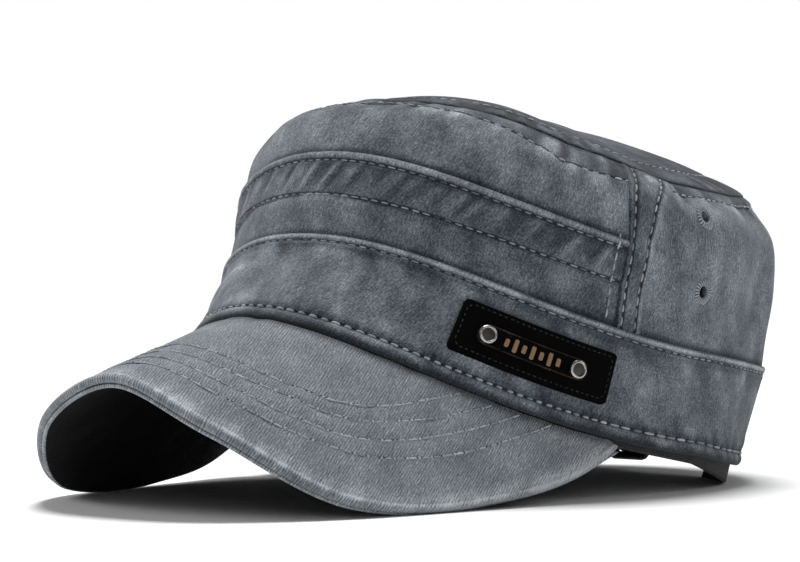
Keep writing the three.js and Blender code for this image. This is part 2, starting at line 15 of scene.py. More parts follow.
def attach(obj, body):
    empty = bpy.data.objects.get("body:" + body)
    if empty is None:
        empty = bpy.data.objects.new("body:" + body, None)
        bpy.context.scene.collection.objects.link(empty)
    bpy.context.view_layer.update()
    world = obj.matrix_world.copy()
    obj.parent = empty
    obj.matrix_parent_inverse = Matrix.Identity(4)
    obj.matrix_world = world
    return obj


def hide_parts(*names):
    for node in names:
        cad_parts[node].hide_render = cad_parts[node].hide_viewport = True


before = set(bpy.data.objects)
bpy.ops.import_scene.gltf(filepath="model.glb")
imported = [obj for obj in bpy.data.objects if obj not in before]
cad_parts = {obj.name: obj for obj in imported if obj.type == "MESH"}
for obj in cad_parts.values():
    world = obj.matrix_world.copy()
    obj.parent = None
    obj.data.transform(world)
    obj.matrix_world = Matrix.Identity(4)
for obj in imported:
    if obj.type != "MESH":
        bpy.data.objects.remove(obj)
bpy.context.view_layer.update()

log = logging.getLogger("cap")

Array = np.ndarray
Colour = tuple[int, int, int]
Table = tuple[tuple[float, ...], ...]
Path = Callable[[Array], tuple[Array, Array]]

# Sizes are millimetres in the head's own frame, whose origin lies this far behind the model's.
HEAD_SHIFT = np.array([0.0, 36.253, 0.0])
# Along the cloth: the band's top, the crown above it for each level, and the top seam.
BAND_HEIGHT = 32.8
CROWN_MM_PER_LEVEL = 30.0
SEAM_HEIGHT = BAND_HEIGHT + 2 * CROWN_MM_PER_LEVEL
FLOOR = 0.0
# Cloth counts its stitch rows in multiples of a period, and has none halfway between.
ROW_PERIOD = 10.0
NO_ROW = ROW_PERIOD / 2
# The hem's stitches: first and last angle of each stretch, and the pitch there.
HEM_HEIGHT = 4.4
HEM_ROWS = ((-154, -58, 5.0), (-58, 0, 3.1), (0, 30, 3.7), (30, 70, 3.4), (70, 154, 5.0))
# Between these shares of the visor its normals can be measured.
INSIDE = (0.02, 0.98)
SHRINK = Matrix.Scale(0.001, 4)


class Slot(Enum):
    """Finishes named in the part's record."""

    WASHED = "washed_cotton"
    SHADED = "dark_cotton"
    VISOR = "visor_cotton"
    UNDER = "under_cotton"
    WEBBING = "black_webbing"
    LEATHER = "black_leather"
    BRIGHT = "bright_metal"
    DARK = "dark_metal"


def level_of(height: Array) -> Array:
    """Turns a height along the cloth into a level of the crown.

    Args:
        height: Millimetres along the cloth, from the rim up.

    Returns:
        Levels, 0 at the rim, 1 at the band's top and 3 at the top seam.
    """
    height = np.asarray(height, float)
    above = 1 + (height - BAND_HEIGHT) / CROWN_MM_PER_LEVEL
    return np.where(height < BAND_HEIGHT, height / BAND_HEIGHT, above)


def height_of(level: Array) -> Array:
    """Turns a level of the crown into a height along the cloth."""
    return np.where(level > 1, BAND_HEIGHT + (level - 1) * CROWN_MM_PER_LEVEL, level * BAND_HEIGHT)


def unit(vectors: Array) -> Array:
    """Returns the vectors at length one."""
    return vectors / np.linalg.norm(vectors, axis=-1, keepdims=True)


def smooth(x: Array, low: float, high: float) -> Array:
    """Rises smoothly from 0 at low to 1 at high."""
    s = np.clip((np.asarray(x, float) - low) / (high - low), 0, 1)
    return s * s * (3 - 2 * s)


def bump(x: Array, centre: float | Array, width: float) -> Array:
    """Returns a bell of height one about a centre."""
    return np.exp(-(((np.asarray(x, float) - centre) / width) ** 2))


def bells(x: Array, table: Table) -> Array:
    """Adds up bells, each row of the table a centre, a width and a height."""
    return sum(height * bump(x, centre, width) for centre, width, height in table)


def count_rows(x: Array, *places: float | Array) -> Array:
    """Counts millimetres across the rows of stitches at some places, which lie a period apart or more."""
    near = [np.clip(x - place, -NO_ROW, NO_ROW) for place in places]
    return sum(near) + NO_ROW * (len(places) - 1)


def run_along(points: Array) -> Array:
    """Millimetres along a line of points, from its start to each of them."""
    return np.concatenate([[0], np.cumsum(np.linalg.norm(np.diff(points, axis=0), axis=1))])


def read_along(where: Array, run: Array, rows: Array) -> Array:
    """Reads rows of values, known at some lengths along a line, at other lengths."""
    return np.stack([np.interp(where, run, rows[:, c]) for c in range(rows.shape[1])], -1)


def ring_noise(degrees: Array, height: Array, around: int, rise: float, seed: int) -> Array:
    """Smooth noise that closes on itself round the cap.

    Args:
        degrees: Angles round the head.
        height: Millimetres along the cloth.
        around: Number of swells in one turn.
        rise: Millimetres from one swell to the next above it.
        seed: Which noise.

    Returns:
        Values from -1 to 1.
    """
    table = np.random.default_rng(seed).uniform(-1, 1, (around, 64))
    x = np.mod(degrees, 360) * around / 360
    y = np.asarray(height, float) / rise
    column, row = np.floor(x).astype(int), np.floor(y).astype(int)
    s, r = smooth(x - column, 0, 1), smooth(y - row, 0, 1)
    column, row = column % around, row % 64
    beside, above = (column + 1) % around, (row + 1) % 64
    low = table[column, row] * (1 - s) + table[beside, row] * s
    high = table[column, above] * (1 - s) + table[beside, above] * s
    return low * (1 - r) + high * r


def hermite(knots: Sequence[float], rows: Sequence[Array], x: Array) -> Array:
    """A smooth curve through rows of points, with a three-point slope at each knot.

    Args:
        knots: Where the rows lie.
        rows: One array of points for each knot.
        x: Where the curve is read.

    Returns:
        Points on the curve.
    """
    last = len(knots) - 1
    steps = [(rows[i + 1] - rows[i]) / (knots[i + 1] - knots[i]) for i in range(last)]
    slopes = [steps[0]]
    for i in range(1, last):
        before, after = knots[i] - knots[i - 1], knots[i + 1] - knots[i]
        slopes.append((steps[i - 1] * after + steps[i] * before) / (before + after))
    slopes.append(steps[-1])
    x = np.asarray(x, float)[..., None]
    span = np.clip(np.searchsorted(knots, x[..., 0], side="right") - 1, 0, last - 1)
    shape = np.broadcast_shapes(x.shape[:-1] + (3,), rows[0].shape)
    out = np.zeros(shape)
    for i in range(last):
        h = knots[i + 1] - knots[i]
        s = (x - knots[i]) / h
        keep = 2 * s**3 - 3 * s**2 + 1
        bend = (s**3 - 2 * s**2 + s) * slopes[i] + (s**3 - s**2) * slopes[i + 1]
        value = keep * rows[i] + (1 - keep) * rows[i + 1] + h * bend
        value = np.where((s < 0) & (i == 0), rows[0] + slopes[0] * (x - knots[0]), value)
        value = np.where((s > 1) & (i == last - 1), rows[-1] + slopes[-1] * (x - knots[-1]), value)
        out = np.where((span == i)[..., None], value, out)
    return out


def surface_normal(
    surface: Callable[[Array, Array], Array], u: Array, v: Array, du: float, dv: float
) -> Array:
    """Unit normals of a surface that two coordinates give.

    Args:
        surface: Points at two coordinates.
        u: First coordinate.
        v: Second coordinate.
        du: Step of the first.
        dv: Step of the second.

    Returns:
        One normal for each point.
    """
    along = surface(u + du, v) - surface(u - du, v)
    across = surface(u, v + dv) - surface(u, v - dv)
    return unit(np.cross(along, across))


@dataclass(frozen=True)
class RingLine:
    """A line round the crown: a rounded oval with five heights, from the front to the back."""

    level: float
    half_width: float
    front: float
    back: float
    power: float
    heights: tuple[float, float, float, float, float]

    CENTRE_Y = 6.8

    def at(self, degrees: Array) -> Array:
        """Points of the line.

        Args:
            degrees: Angles round the head, 0 at the front and 90 on the wearer's left.

        Returns:
            Points in millimetres.
        """
        turn = np.radians(degrees)
        c, s = np.cos(turn), np.sin(turn)
        series = np.array([[math.cos(k * math.pi * q / 4) for k in range(5)] for q in range(5)])
        weights = np.linalg.solve(series, np.array(self.heights))
        z = sum(weights[k] * np.cos(k * turn) for k in range(5))
        reach = np.where(c > 0, self.CENTRE_Y - self.front, self.back - self.CENTRE_Y)
        x = self.half_width * np.sign(s) * np.abs(s) ** (2 / self.power)
        y = self.CENTRE_Y - reach * np.sign(c) * np.abs(c) ** (2 / self.power)
        return np.stack([x, y, z], -1)


@dataclass(frozen=True)
class Fold:
    """A soft dent or swell of the crown, where it lies and how far it spreads."""

    angle: float
    level: float
    height: float
    spread_angle: float
    spread_level: float


@dataclass(frozen=True)
class CrownForm:
    """The crown's shape, from its rim to the seam of its domed top."""

    dome: float = 14.6
    lines: tuple[RingLine, ...] = (
        RingLine(0.0, 78.0, -113.1, 75.6, 2.0, (55.4, 34.2, 11.2, 4.9, 4.3)),
        RingLine(1.0, 79.0, -87.8, 91.9, 2.13, (78.8, 62.9, 42.3, 34.1, 30.6)),
        RingLine(1.5, 79.7, -83.6, 97.7, 2.03, (91.3, 76.3, 55.8, 46.4, 44.2)),
        RingLine(1.9, 81.2, -76.5, 98.2, 2.08, (103.1, 87.4, 68.6, 59.5, 57.9)),
        RingLine(2.4, 79.6, -67.0, 96.8, 2.22, (117.2, 101.8, 84.8, 74.5, 74.7)),
        RingLine(3.0, 67.5, -50.3, 94.7, 2.2, (120.3, 111.0, 95.2, 91.0, 92.1)),
    )
    folds: tuple[Fold, ...] = (
        Fold(54, 2.75, -1.6, 9, 0.3),
        Fold(30, 2.7, 1.0, 10, 0.3),
        Fold(112, 1.9, -1.8, 5, 0.7),
        Fold(121, 1.7, 1.4, 5, 0.8),
        Fold(132, 2.1, -1.4, 6, 0.6),
        Fold(-52, 2.7, -1.4, 10, 0.3),
        Fold(-115, 1.9, -1.6, 6, 0.7),
        Fold(-128, 1.8, 1.3, 6, 0.8),
    )

    def bare(self, degrees: Array, level: Array) -> Array:
        """Points of the crown without its folds."""
        degrees, level = np.broadcast_arrays(np.asarray(degrees, float), np.asarray(level, float))
        return hermite([line.level for line in self.lines], [line.at(degrees) for line in self.lines], level)

    def folded(self, degrees: Array, level: Array) -> Array:
        """Points of the crown with its folds.

        Args:
            degrees: Angles round the head.
            level: Levels, 0 at the rim and 3 at the top seam.

        Returns:
            Points in millimetres.
        """
        height = 0.0
        for fold in self.folds:
            away = np.mod(degrees - fold.angle + 180, 360) - 180
            height = height + fold.height * np.exp(
                -((away / fold.spread_angle) ** 2) - ((level - fold.level) / fold.spread_level) ** 2
            )
        normals = surface_normal(self.bare, degrees, level, 0.5, 0.02)
        return self.bare(degrees, level) + normals * np.asarray(height)[..., None]

    def normal(self, degrees: Array, level: Array) -> Array:
        """Unit normals of the folded crown."""
        return surface_normal(self.folded, degrees, level, 0.5, 0.02)

    def on(self, degrees: Array, height: Array, offset: Array) -> Array:
        """Points moved some millimetres out of the cloth, at heights along it."""
        level = level_of(height)
        return self.folded(degrees, level) + self.normal(degrees, level) * offset[..., None]

    def arc(self, degrees: Array, height: float) -> Array:
        """Millimetres round the crown from the front, at one height.

        Args:
            degrees: Angles round the head.
            height: Where the length is taken.

        Returns:
            Lengths, negative on the wearer's right.
        """
        steps = np.linspace(-360, 360, 1441)
        points = self.bare(steps, level_of(np.full_like(steps, height)))
        lengths = run_along(points)
        return np.interp(degrees, steps, lengths - lengths[len(steps) // 2])

    def top(self, degrees: Array, inward: Array) -> Array:
        """Points of the domed top, from the seam (0) to its middle (1).

        Args:
            degrees: Angles round the head.
            inward: 0 at the seam and 1 at the middle.

        Returns:
            Points in millimetres.
        """
        turn = np.arange(0, 360, 5.0)
        centre = self.bare(turn, np.full_like(turn, 3.0)).mean(0)
        inward = np.asarray(inward, float)[..., None]
        points = self.folded(degrees, np.full_like(degrees, 3.0)) * (1 - inward) + centre * inward
        points[..., 2:] += self.dome * (1 - (1 - inward) ** 2)
        return points

    def on_top(self, degrees: Array, inward: Array, offset: Array) -> Array:
        """Points moved out of the domed top.

        Args:
            degrees: Angles round the head.
            inward: 0 at the seam and 1 at the middle.
            offset: Millimetres out of the cloth.

        Returns:
            Points in millimetres.
        """
        near = np.clip(inward, 0.01, 0.96)
        normals = surface_normal(self.top, degrees, near, 0.5, 0.005)
        normals = np.where(np.asarray(inward)[..., None] > 0.999, (0, 0, 1), normals)
        return self.top(degrees, inward) + normals * offset[..., None]


@dataclass(frozen=True)
class VisorForm:
    """The visor's shape: ruled straight from the crown's rim to its free edge."""

    crown: CrownForm
    tip_angle: float = 71.2
    tip_width: float = 2.6
    start_gap: float = 0.6
    edge: tuple[tuple[float, float, float, float], ...] = (
        (0.0, 0.0, -170.7, 40.2),
        (0.28, 34.8, -164.7, 26.2),
        (0.55, 60.8, -133.0, 4.5),
        (0.78, 69.9, -86.3, 2.0),
        (0.95, 75.4, -44.5, 10.4),
    )

    def edge_rows(self) -> Array:
        """Stations and points of the whole free edge, from tip to tip.

        Returns:
            One row for each station: the station and its point.
        """
        turn, rim = np.array(self.tip_angle), np.array(0.0)
        out = self.crown.normal(turn, rim) * [1, 1, 0]
        tip = self.crown.folded(turn, rim) + out / np.linalg.norm(out) * self.tip_width
        half = np.array([*self.edge, (1.0, tip[0], tip[1], tip[2] - 1)])
        return np.vstack([half[:0:-1] * [-1, -1, 1, 1], half])

    def at(self, station: Array, across: Array) -> Array:
        """Points of the visor's top.

        Args:
            station: -1 and 1 at the visor's tips, 0 at its middle.
            across: 0 at the rim and 1 at the free edge.

        Returns:
            Points in millimetres.
        """
        station, across = np.broadcast_arrays(np.asarray(station, float), np.asarray(across, float))
        rows = self.edge_rows()
        inner = self.crown.folded(station * self.tip_angle, np.zeros_like(station))
        outer = hermite(rows[:, 0], list(rows[:, 1:]), station)
        start = self.start_gap / np.linalg.norm(inner - outer, axis=-1)
        share = (start + (1 - start) * across)[..., None]
        return inner * (1 - share) + outer * share

    def normal(self, station: Array, across: Array) -> Array:
        """Unit normals of the visor, up."""
        normals = surface_normal(self.at, station, across, 0.005, 0.02)
        return np.where(normals[..., 2:] < 0, -normals, normals)

    def width(self, station: Array) -> Array:
        """Millimetres from the rim to the free edge."""
        return np.linalg.norm(self.at(station, 1.0) - self.at(station, 0.0), axis=-1)

    def on(self, station: Array, across: Array, offset: Array) -> Array:
        """Points moved some millimetres above the visor's top."""
        normals = self.normal(station, np.clip(across, *INSIDE))
        return self.at(station, across) + normals * offset[..., None]


CROWN = CrownForm()
VISOR = VisorForm(CROWN)


def smooth_path(rows: Sequence[Sequence[float]], count: int) -> Array:
    """A smooth curve through table rows, in equal steps of its length.

    Args:
        rows: Points of the curve.
        count: Number of steps.

    Returns:
        One row more than the steps.
    """
    knots = np.array(rows, float)
    ends = np.vstack([2 * knots[0] - knots[1], knots, 2 * knots[-1] - knots[-2]])
    dense = []
    for i in range(1, len(ends) - 2):
        s = np.linspace(0, 1, 24, endpoint=False)[:, None]
        p, q, r, t = ends[i - 1 : i + 3]
        span = p * (-s + 2 * s**2 - s**3) + q * (2 - 5 * s**2 + 3 * s**3)
        dense.append((span + r * (s + 4 * s**2 - 3 * s**3) + t * (s**3 - s**2)) / 2)
    dense = np.vstack([*dense, knots[-1:]])
    lengths = run_along(dense)
    return read_along(np.linspace(0, lengths[-1], count + 1), lengths, dense)


@dataclass(frozen=True)
class Section:
    """A closed cross-section of a piece of cloth: its face, then its back."""

    face: Table
    back: Table
    face_steps: int
    back_steps: int = 10

    def points(self) -> Array:
        """Rows of the whole section, the last on the first.

        Returns:
            Each point's place along the cloth and its millimetres out of it.
        """
        face = smooth_path(self.face, self.face_steps)
        back = np.array([self.face[-1], *self.back, self.face[0]], float)
        lengths = run_along(back)
        wanted = np.linspace(0, lengths[-1], self.back_steps + 1)[1:]
        return np.vstack([face, read_along(wanted, lengths, back)])

    def read(self, step: Array) -> tuple[Array, Array, Array]:
        """Each step's place along the cloth, its millimetres out of it, and True on the face."""
        rows = self.points()
        return rows[step, 0], rows[step, 1], step <= self.face_steps

    @property
    def steps(self) -> int:
        """Number of steps round the section."""
        return self.face_steps + self.back_steps


@dataclass
class Laid:
    """Where the points of a piece of cloth lie, and what its finish reads there.

    wear_and_shade is light where positive and dark where negative: rubbed pale ridges with painted
    highlights on them, and painted shade in grooves, folds, seams and recesses. row counts millimetres
    across the rows of stitches, each row on a multiple of ROW_PERIOD.
    """

    points: Array
    uv: Array
    wear_and_shade: float | Array
    row: float | Array = NO_ROW


def select_only(piece: bpy.types.Object) -> None:
    """Selects a piece alone and makes it the active one.

    Args:
        piece: The piece.
    """
    bpy.ops.object.select_all(action="DESELECT")
    piece.select_set(True)
    bpy.context.view_layer.objects.active = piece


def carry(piece: bpy.types.Object, label: str, values: float | Array) -> None:
    """Writes one value for all points of a piece, or one for each, which its finish reads."""
    values = np.broadcast_to(values, len(piece.data.vertices)).astype(np.float32)
    piece.data.attributes.new(label, "FLOAT", "POINT").data.foreach_set("value", values)


def read_points(piece: bpy.types.Object) -> Array:
    """Reads the places of a piece's points."""
    return np.array([vertex.co for vertex in piece.data.vertices])


def move_points(piece: bpy.types.Object, points: Array) -> None:
    """Moves a piece's points to new places."""
    piece.data.vertices.foreach_set("co", points.astype(np.float32).ravel())


def seat_on_crown(piece: bpy.types.Object, angle: float, height: float, offset: float) -> None:
    """Moves a piece's mesh, made in millimetres about the origin, onto the crown's cloth.

    Args:
        piece: The piece, its own up pointing out of the cloth.
        angle: Angle round the head.
        height: Millimetres along the cloth.
        offset: Millimetres out of the cloth.
    """
    point, normal = crown_place(angle, height, offset)
    turn = Vector((0, 0, 1)).rotation_difference(Vector(normal)).to_matrix().to_4x4()
    turn.translation = Vector(point + HEAD_SHIFT)
    piece.data.transform(turn)
    piece.data.transform(SHRINK)


def crown_place(degrees: Array, height: Array, offset: Array) -> tuple[Array, Array]:
    """Points above the crown's cloth, and the way out of the cloth there."""
    degrees, height, offset = (np.array(v, float) for v in np.broadcast_arrays(degrees, height, offset))
    return CROWN.on(degrees, height, offset), CROWN.normal(degrees, level_of(height))


def put(piece: bpy.types.Object, slot: Slot, *nodes: str) -> None:
    """Seats a finished piece on the cap's one body.

    Args:
        piece: The finished piece.
        slot: Not used.
        nodes: Nodes of the frame that the piece stands for.
    """
    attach(piece, "root")
    if nodes:
        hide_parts(*nodes)
    log.info("%s: %d faces", piece.name, len(piece.data.polygons))


def lay_cloth(
    name: str, columns: int, rows: int, lay: Callable[[Array, Array], Laid], ring: bool = True
) -> bpy.types.Object:
    """Lays a grid of cloth on a surface, closes it and turns its faces outward.

    Args:
        name: The piece's name.
        columns: Steps along the cloth.
        rows: Steps round its cross-section.
        lay: Gives the place of each column and row.
        ring: True where the cross-section ends at the row it starts from.

    Returns:
        The new piece.
    """
    bpy.ops.object.select_all(action="DESELECT")
    bpy.ops.mesh.primitive_grid_add(x_subdivisions=columns, y_subdivisions=rows, size=2)
    piece = bpy.context.object
    piece.name = piece.data.name = name
    mesh = piece.data
    share = (read_points(piece)[:, :2] + 1) / 2
    step = np.rint(share[:, 1] * rows).astype(int)
    laid = lay(np.rint(share[:, 0] * columns) / columns, step)
    if ring:
        laid.points[step == rows] = laid.points[step == 0]
    move_points(piece, (laid.points + HEAD_SHIFT) / 1000)
    corners = np.empty(len(mesh.loops), np.int32)
    mesh.loops.foreach_get("vertex_index", corners)
    mesh.uv_layers.active.data.foreach_set("uv", (laid.uv[corners] / 1000).astype(np.float32).ravel())
    carry(piece, "wear_and_shade", laid.wear_and_shade)
    carry(piece, "row", laid.row)
    mesh.update()
    close_cloth(piece)
    return piece


def close_cloth(piece: bpy.types.Object) -> None:
    """Merges the seams of a laid piece, fills its ends and shades it, its sharp edges kept.

    Args:
        piece: The laid piece.
    """
    select_only(piece)
    bpy.ops.object.mode_set(mode="EDIT")
    bpy.ops.mesh.select_all(action="SELECT")
    bpy.ops.mesh.remove_doubles(threshold=2e-6)
    bpy.ops.mesh.select_all(action="SELECT")
    bpy.ops.mesh.fill_holes(sides=0)
    bpy.ops.mesh.select_all(action="SELECT")
    bpy.ops.mesh.normals_make_consistent(inside=False)
    bpy.ops.object.mode_set(mode="OBJECT")
    bpy.ops.object.shade_smooth_by_angle(angle=math.radians(70))


def soften_edges(piece: bpy.types.Object, width: float) -> None:
    """Bevels the sharp edges of the active piece and shades it.

    Args:
        piece: The active piece.
        width: The bevel's width, in the mesh's own units.
    """
    bevel = piece.modifiers.new("soft edge", "BEVEL")
    bevel.width = width
    bevel.segments = 3
    bevel.limit_method = "ANGLE"
    bpy.ops.object.modifier_apply(modifier=bevel.name)
    bpy.ops.object.shade_smooth_by_angle(angle=math.radians(40))


def dress(piece: bpy.types.Object, *materials: bpy.types.Material) -> bpy.types.Object:
    """Gives a piece its finishes, the first on all of its faces.

    Args:
        piece: The piece.
        materials: Its finishes.

    Returns:
        The piece.
    """
    piece.data.materials.clear()
    for material in materials:
        piece.data.materials.append(material)
    return piece


def linear(colour: Colour) -> tuple[float, float, float, float]:
    """Turns a screen colour of 0 to 255 into the renderer's own."""
    shares = [c / 255 for c in colour]
    return (*[s / 12.92 if s <= 0.04045 else ((s + 0.055) / 1.055) ** 2.4 for s in shares], 1.0)


class Graph:
    """Lays out the nodes of one finish."""

    def __init__(self, name: str) -> None:
        """Starts a finish with nothing but its output.

        Args:
            name: The finish's name.
        """
        self.material = bpy.data.materials.new(name)
        self.material.use_nodes = True
        self.tree = self.material.node_tree
        self.tree.nodes.clear()
        self.output = self.tree.nodes.new("ShaderNodeOutputMaterial")

    def node(self, kind: str, inputs: dict | None = None, **settings: object) -> bpy.types.Node:
        """Adds a node.

        Args:
            kind: The node's type, without its common first word.
            inputs: Values or links for its sockets, by name or place.
            settings: Its own settings.

        Returns:
            The node.
        """
        node = self.tree.nodes.new("ShaderNode" + kind)
        for key, value in settings.items():
            setattr(node, key, value)
        for key, value in (inputs or {}).items():
            if isinstance(value, bpy.types.NodeSocket):
                self.tree.links.new(value, node.inputs[key])
            else:
                node.inputs[key].default_value = value
        return node

    def math(self, kind: str, a: object, b: object = 0.0, c: object = 0.0) -> bpy.types.NodeSocket:
        """Returns the result of one sum."""
        return self.node("Math", {0: a, 1: b, 2: c}, operation=kind).outputs[0]

    def scaled(self, vector: object, scale: Sequence[float], turn: float = 0.0) -> bpy.types.NodeSocket:
        """Returns a vector turned in its plane by some degrees, then scaled."""
        turned = self.node("Mapping", {"Vector": vector, "Rotation": (0, 0, math.radians(turn))})
        return self.node("VectorMath", {0: turned.outputs[0], 1: scale}, operation="MULTIPLY").outputs[0]

    def noise(self, vector: object, scale: float = 1.0, detail: float = 2.0) -> bpy.types.NodeSocket:
        """Returns a noise about zero."""
        inputs = {"Vector": vector, "Scale": scale, "Detail": detail, "Roughness": 0.55}
        return self.math("SUBTRACT", self.node("TexNoise", inputs).outputs["Fac"], 0.5)

    def read(self, name: str) -> bpy.types.NodeSocket:
        """Returns a value that the mesh carries."""
        return self.node("Attribute", attribute_name=name).outputs["Fac"]

    def rise(self, value: object, low: float, high: float, to: float = 1.0) -> bpy.types.NodeSocket:
        """Returns a smooth rise from 0 at low to its full height at high."""
        span = {"Value": value, "From Min": low, "From Max": high, "To Min": 0.0, "To Max": to}
        return self.node("MapRange", span, interpolation_type="SMOOTHSTEP").outputs["Result"]

    def ramp(self, value: object, stops: Sequence[tuple[float, Colour]]) -> bpy.types.NodeSocket:
        """Returns a colour between stops.

        Args:
            value: From 0 to 1.
            stops: Each stop's place and colour.

        Returns:
            The colour.
        """
        node = self.node("ValToRGB", {"Fac": value})
        elements = node.color_ramp.elements
        while len(elements) < len(stops):
            elements.new(0.5)
        for element, (place, colour) in zip(elements, stops):
            element.position = place
            element.color = linear(colour)
        return node.outputs["Color"]

    def bump(self, height: object, distance: float, strength: float = 1.0) -> bpy.types.NodeSocket:
        """Returns a normal bent by a height, in metres at height one."""
        inputs = {"Height": height, "Distance": distance, "Strength": strength}
        return self.node("Bump", inputs).outputs["Normal"]

    def finish(self, inputs: dict) -> bpy.types.Material:
        """Adds the shader and returns the finish."""
        self.tree.links.new(self.node("BsdfPrincipled", inputs).outputs[0], self.output.inputs["Surface"])
        return self.material


@dataclass(frozen=True)
class ClothFinish:
    """Washed cotton: slubs along the cloth, a twill line across it, pale ridges that are rubbed and carry
    painted highlights, and painted shade in its grooves and along its stitch rows.
    """

    name: str
    stops: tuple[tuple[float, Colour], ...] = (
        (0.0, (30, 34, 41)),
        (0.3, (66, 72, 80)),
        (0.5, (95, 102, 110)),
        (0.72, (127, 134, 141)),
        (1.0, (178, 183, 188)),
    )
    rib_pitch: float = 0.8
    rib_turn: float = 12.0
    rib: float = 0.03
    slub: float = 0.8
    mottle: float = 0.9
    grain: float = 0.85
    # How wide the stitch rows' grooves are, and how dark they are painted as shade.
    row_width: float = 0.8
    row_shade: float = 0.6
    tone: float = 0.47
    sheen: float = 0.12

    def material(self) -> bpy.types.Material:
        """Builds the finish.

        Returns:
            The finish.
        """
        g = Graph(self.name)
        place = g.scaled(g.node("UVMap", uv_map="UVMap").outputs[0], (1000, 1000, 1000))
        slub = g.noise(g.scaled(place, (2.2, 0.4, 1), self.rib_turn), detail=3.0)
        weft = g.noise(g.scaled(place, (0.4, 2.4, 1)), detail=1.0)
        mottle = g.noise(g.scaled(place, (0.1, 0.075, 1)), detail=4.0)
        grain = g.noise(place, scale=1.5, detail=2.0)
        drift = g.noise(g.scaled(place, (0.5, 0.2, 1)), detail=2.0)
        along = g.node("SeparateXYZ", {0: g.scaled(place, (1, 1, 1), self.rib_turn)}).outputs[0]
        phase = g.math("MULTIPLY_ADD", along, 2 * math.pi / self.rib_pitch, g.math("MULTIPLY", drift, 9.0))
        patchy = g.rise(g.noise(place, scale=0.5), -0.16, 0.16)
        rib = g.math("MULTIPLY", g.math("SINE", phase), g.math("MULTIPLY_ADD", patchy, 0.8, 0.4))
        # The stitch rows' grooves are darkened in colour as painted shade; wear_and_shade adds rubbed pale
        # ridges with painted highlights, and painted shade.
        apart = g.math("PINGPONG", g.read("row"), ROW_PERIOD / 2)
        groove = g.math("SUBTRACT", 1.0, g.rise(apart, 0.0, self.row_width))
        wear_and_shade = g.read("wear_and_shade")
        total = g.math("MULTIPLY_ADD", wear_and_shade, 0.34, self.tone)
        for part, share in (
            (slub, self.slub),
            (weft, 0.16),
            (mottle, self.mottle),
            (grain, self.grain),
            (rib, self.rib),
            (groove, -self.row_shade),
        ):
            total = g.math("MULTIPLY_ADD", part, share, total)
        height = g.math("MULTIPLY_ADD", slub, 0.5, g.math("MULTIPLY", grain, 0.6))
        height = g.math("MULTIPLY_ADD", rib, self.rib * 3, height)
        height = g.math("MULTIPLY_ADD", groove, -1.2, height)
        return g.finish({
            "Base Color": g.ramp(total, self.stops),
            "Roughness": 0.92,
            "Specular IOR Level": 0.2,
            "Sheen Weight": self.sheen,
            "Sheen Roughness": 0.6,
            "Normal": g.bump(height, 0.0003),
        })


@dataclass(frozen=True)
class ThreadFinish:
    """Sewing thread, each stitch with a tint of its own."""

    name: str
    dark: Colour
    light: Colour
    roughness: float = 0.75

    def material(self) -> bpy.types.Material:
        """Builds the finish.

        Returns:
            The finish.
        """
        g = Graph(self.name)
        place = g.node("TexCoord").outputs["Object"]
        ply = g.noise(place, scale=3200.0, detail=1.0)
        tint = g.math("MULTIPLY_ADD", ply, 0.5, g.read("tint"))
        return g.finish({
            "Base Color": g.ramp(tint, ((0.0, self.dark), (1.0, self.light))),
            "Roughness": self.roughness,
            "Specular IOR Level": 0.3,
            "Normal": g.bump(ply, 0.0001),
        })


@dataclass(frozen=True)
class LeatherFinish:
    """Black leather with a pebbled grain and rubbed high spots."""

    name: str
    stops: tuple[tuple[float, Colour], ...] = (
        (0.0, (1, 1, 1)),
        (0.6, (4, 4, 4)),
        (0.9, (48, 38, 32)),
        (1.0, (70, 56, 47)),
    )
    roughness: float = 0.7

    def material(self) -> bpy.types.Material:
        """Builds the finish.

        Returns:
            The finish.
        """
        g = Graph(self.name)
        place = g.node("TexCoord").outputs["Object"]
        cells = g.node("TexVoronoi", {"Vector": place, "Scale": 1100.0}, feature="DISTANCE_TO_EDGE")
        cloudy = g.noise(place, scale=160.0, detail=3.0)
        fine = g.noise(place, scale=2600.0, detail=2.0)
        grain = g.rise(cells.outputs["Distance"], 0.0, 0.35)
        tone = g.math("MULTIPLY_ADD", cloudy, 0.9, g.math("MULTIPLY_ADD", grain, 0.15, 0.35))
        tone = g.math("MULTIPLY_ADD", g.read("wear_and_shade"), 0.5, tone)
        height = g.math("MULTIPLY_ADD", fine, 0.4, grain)
        rough = g.math("MULTIPLY_ADD", cloudy, 0.3, self.roughness)
        return g.finish({
            "Base Color": g.ramp(tone, self.stops),
            "Roughness": rough,
            "Specular IOR Level": 0.05,
            "Normal": g.bump(height, 0.00008),
        })


@dataclass(frozen=True)
class MetalFinish:
    """Plated metal with fine rubbing marks."""

    name: str
    colour: Colour
    roughness: float = 0.25

    def material(self) -> bpy.types.Material:
        """Builds the finish.

        Returns:
            The finish.
        """
        g = Graph(self.name)
        place = g.node("TexCoord").outputs["Object"]
        rub = g.noise(g.scaled(place, (900, 900, 3600)), detail=3.0)
        cloudy = g.noise(place, scale=500.0, detail=2.0)
        dull = tuple(int(c * 0.72) for c in self.colour)
        tone = g.math("MULTIPLY_ADD", cloudy, 1.0, 0.6)
        return g.finish({
            "Base Color": g.ramp(tone, ((0.0, dull), (0.6, self.colour))),
            "Metallic": 1.0,
            "Roughness": g.math("MULTIPLY_ADD", rub, 0.35, self.roughness),
            "Normal": g.bump(rub, 0.00002),
        })


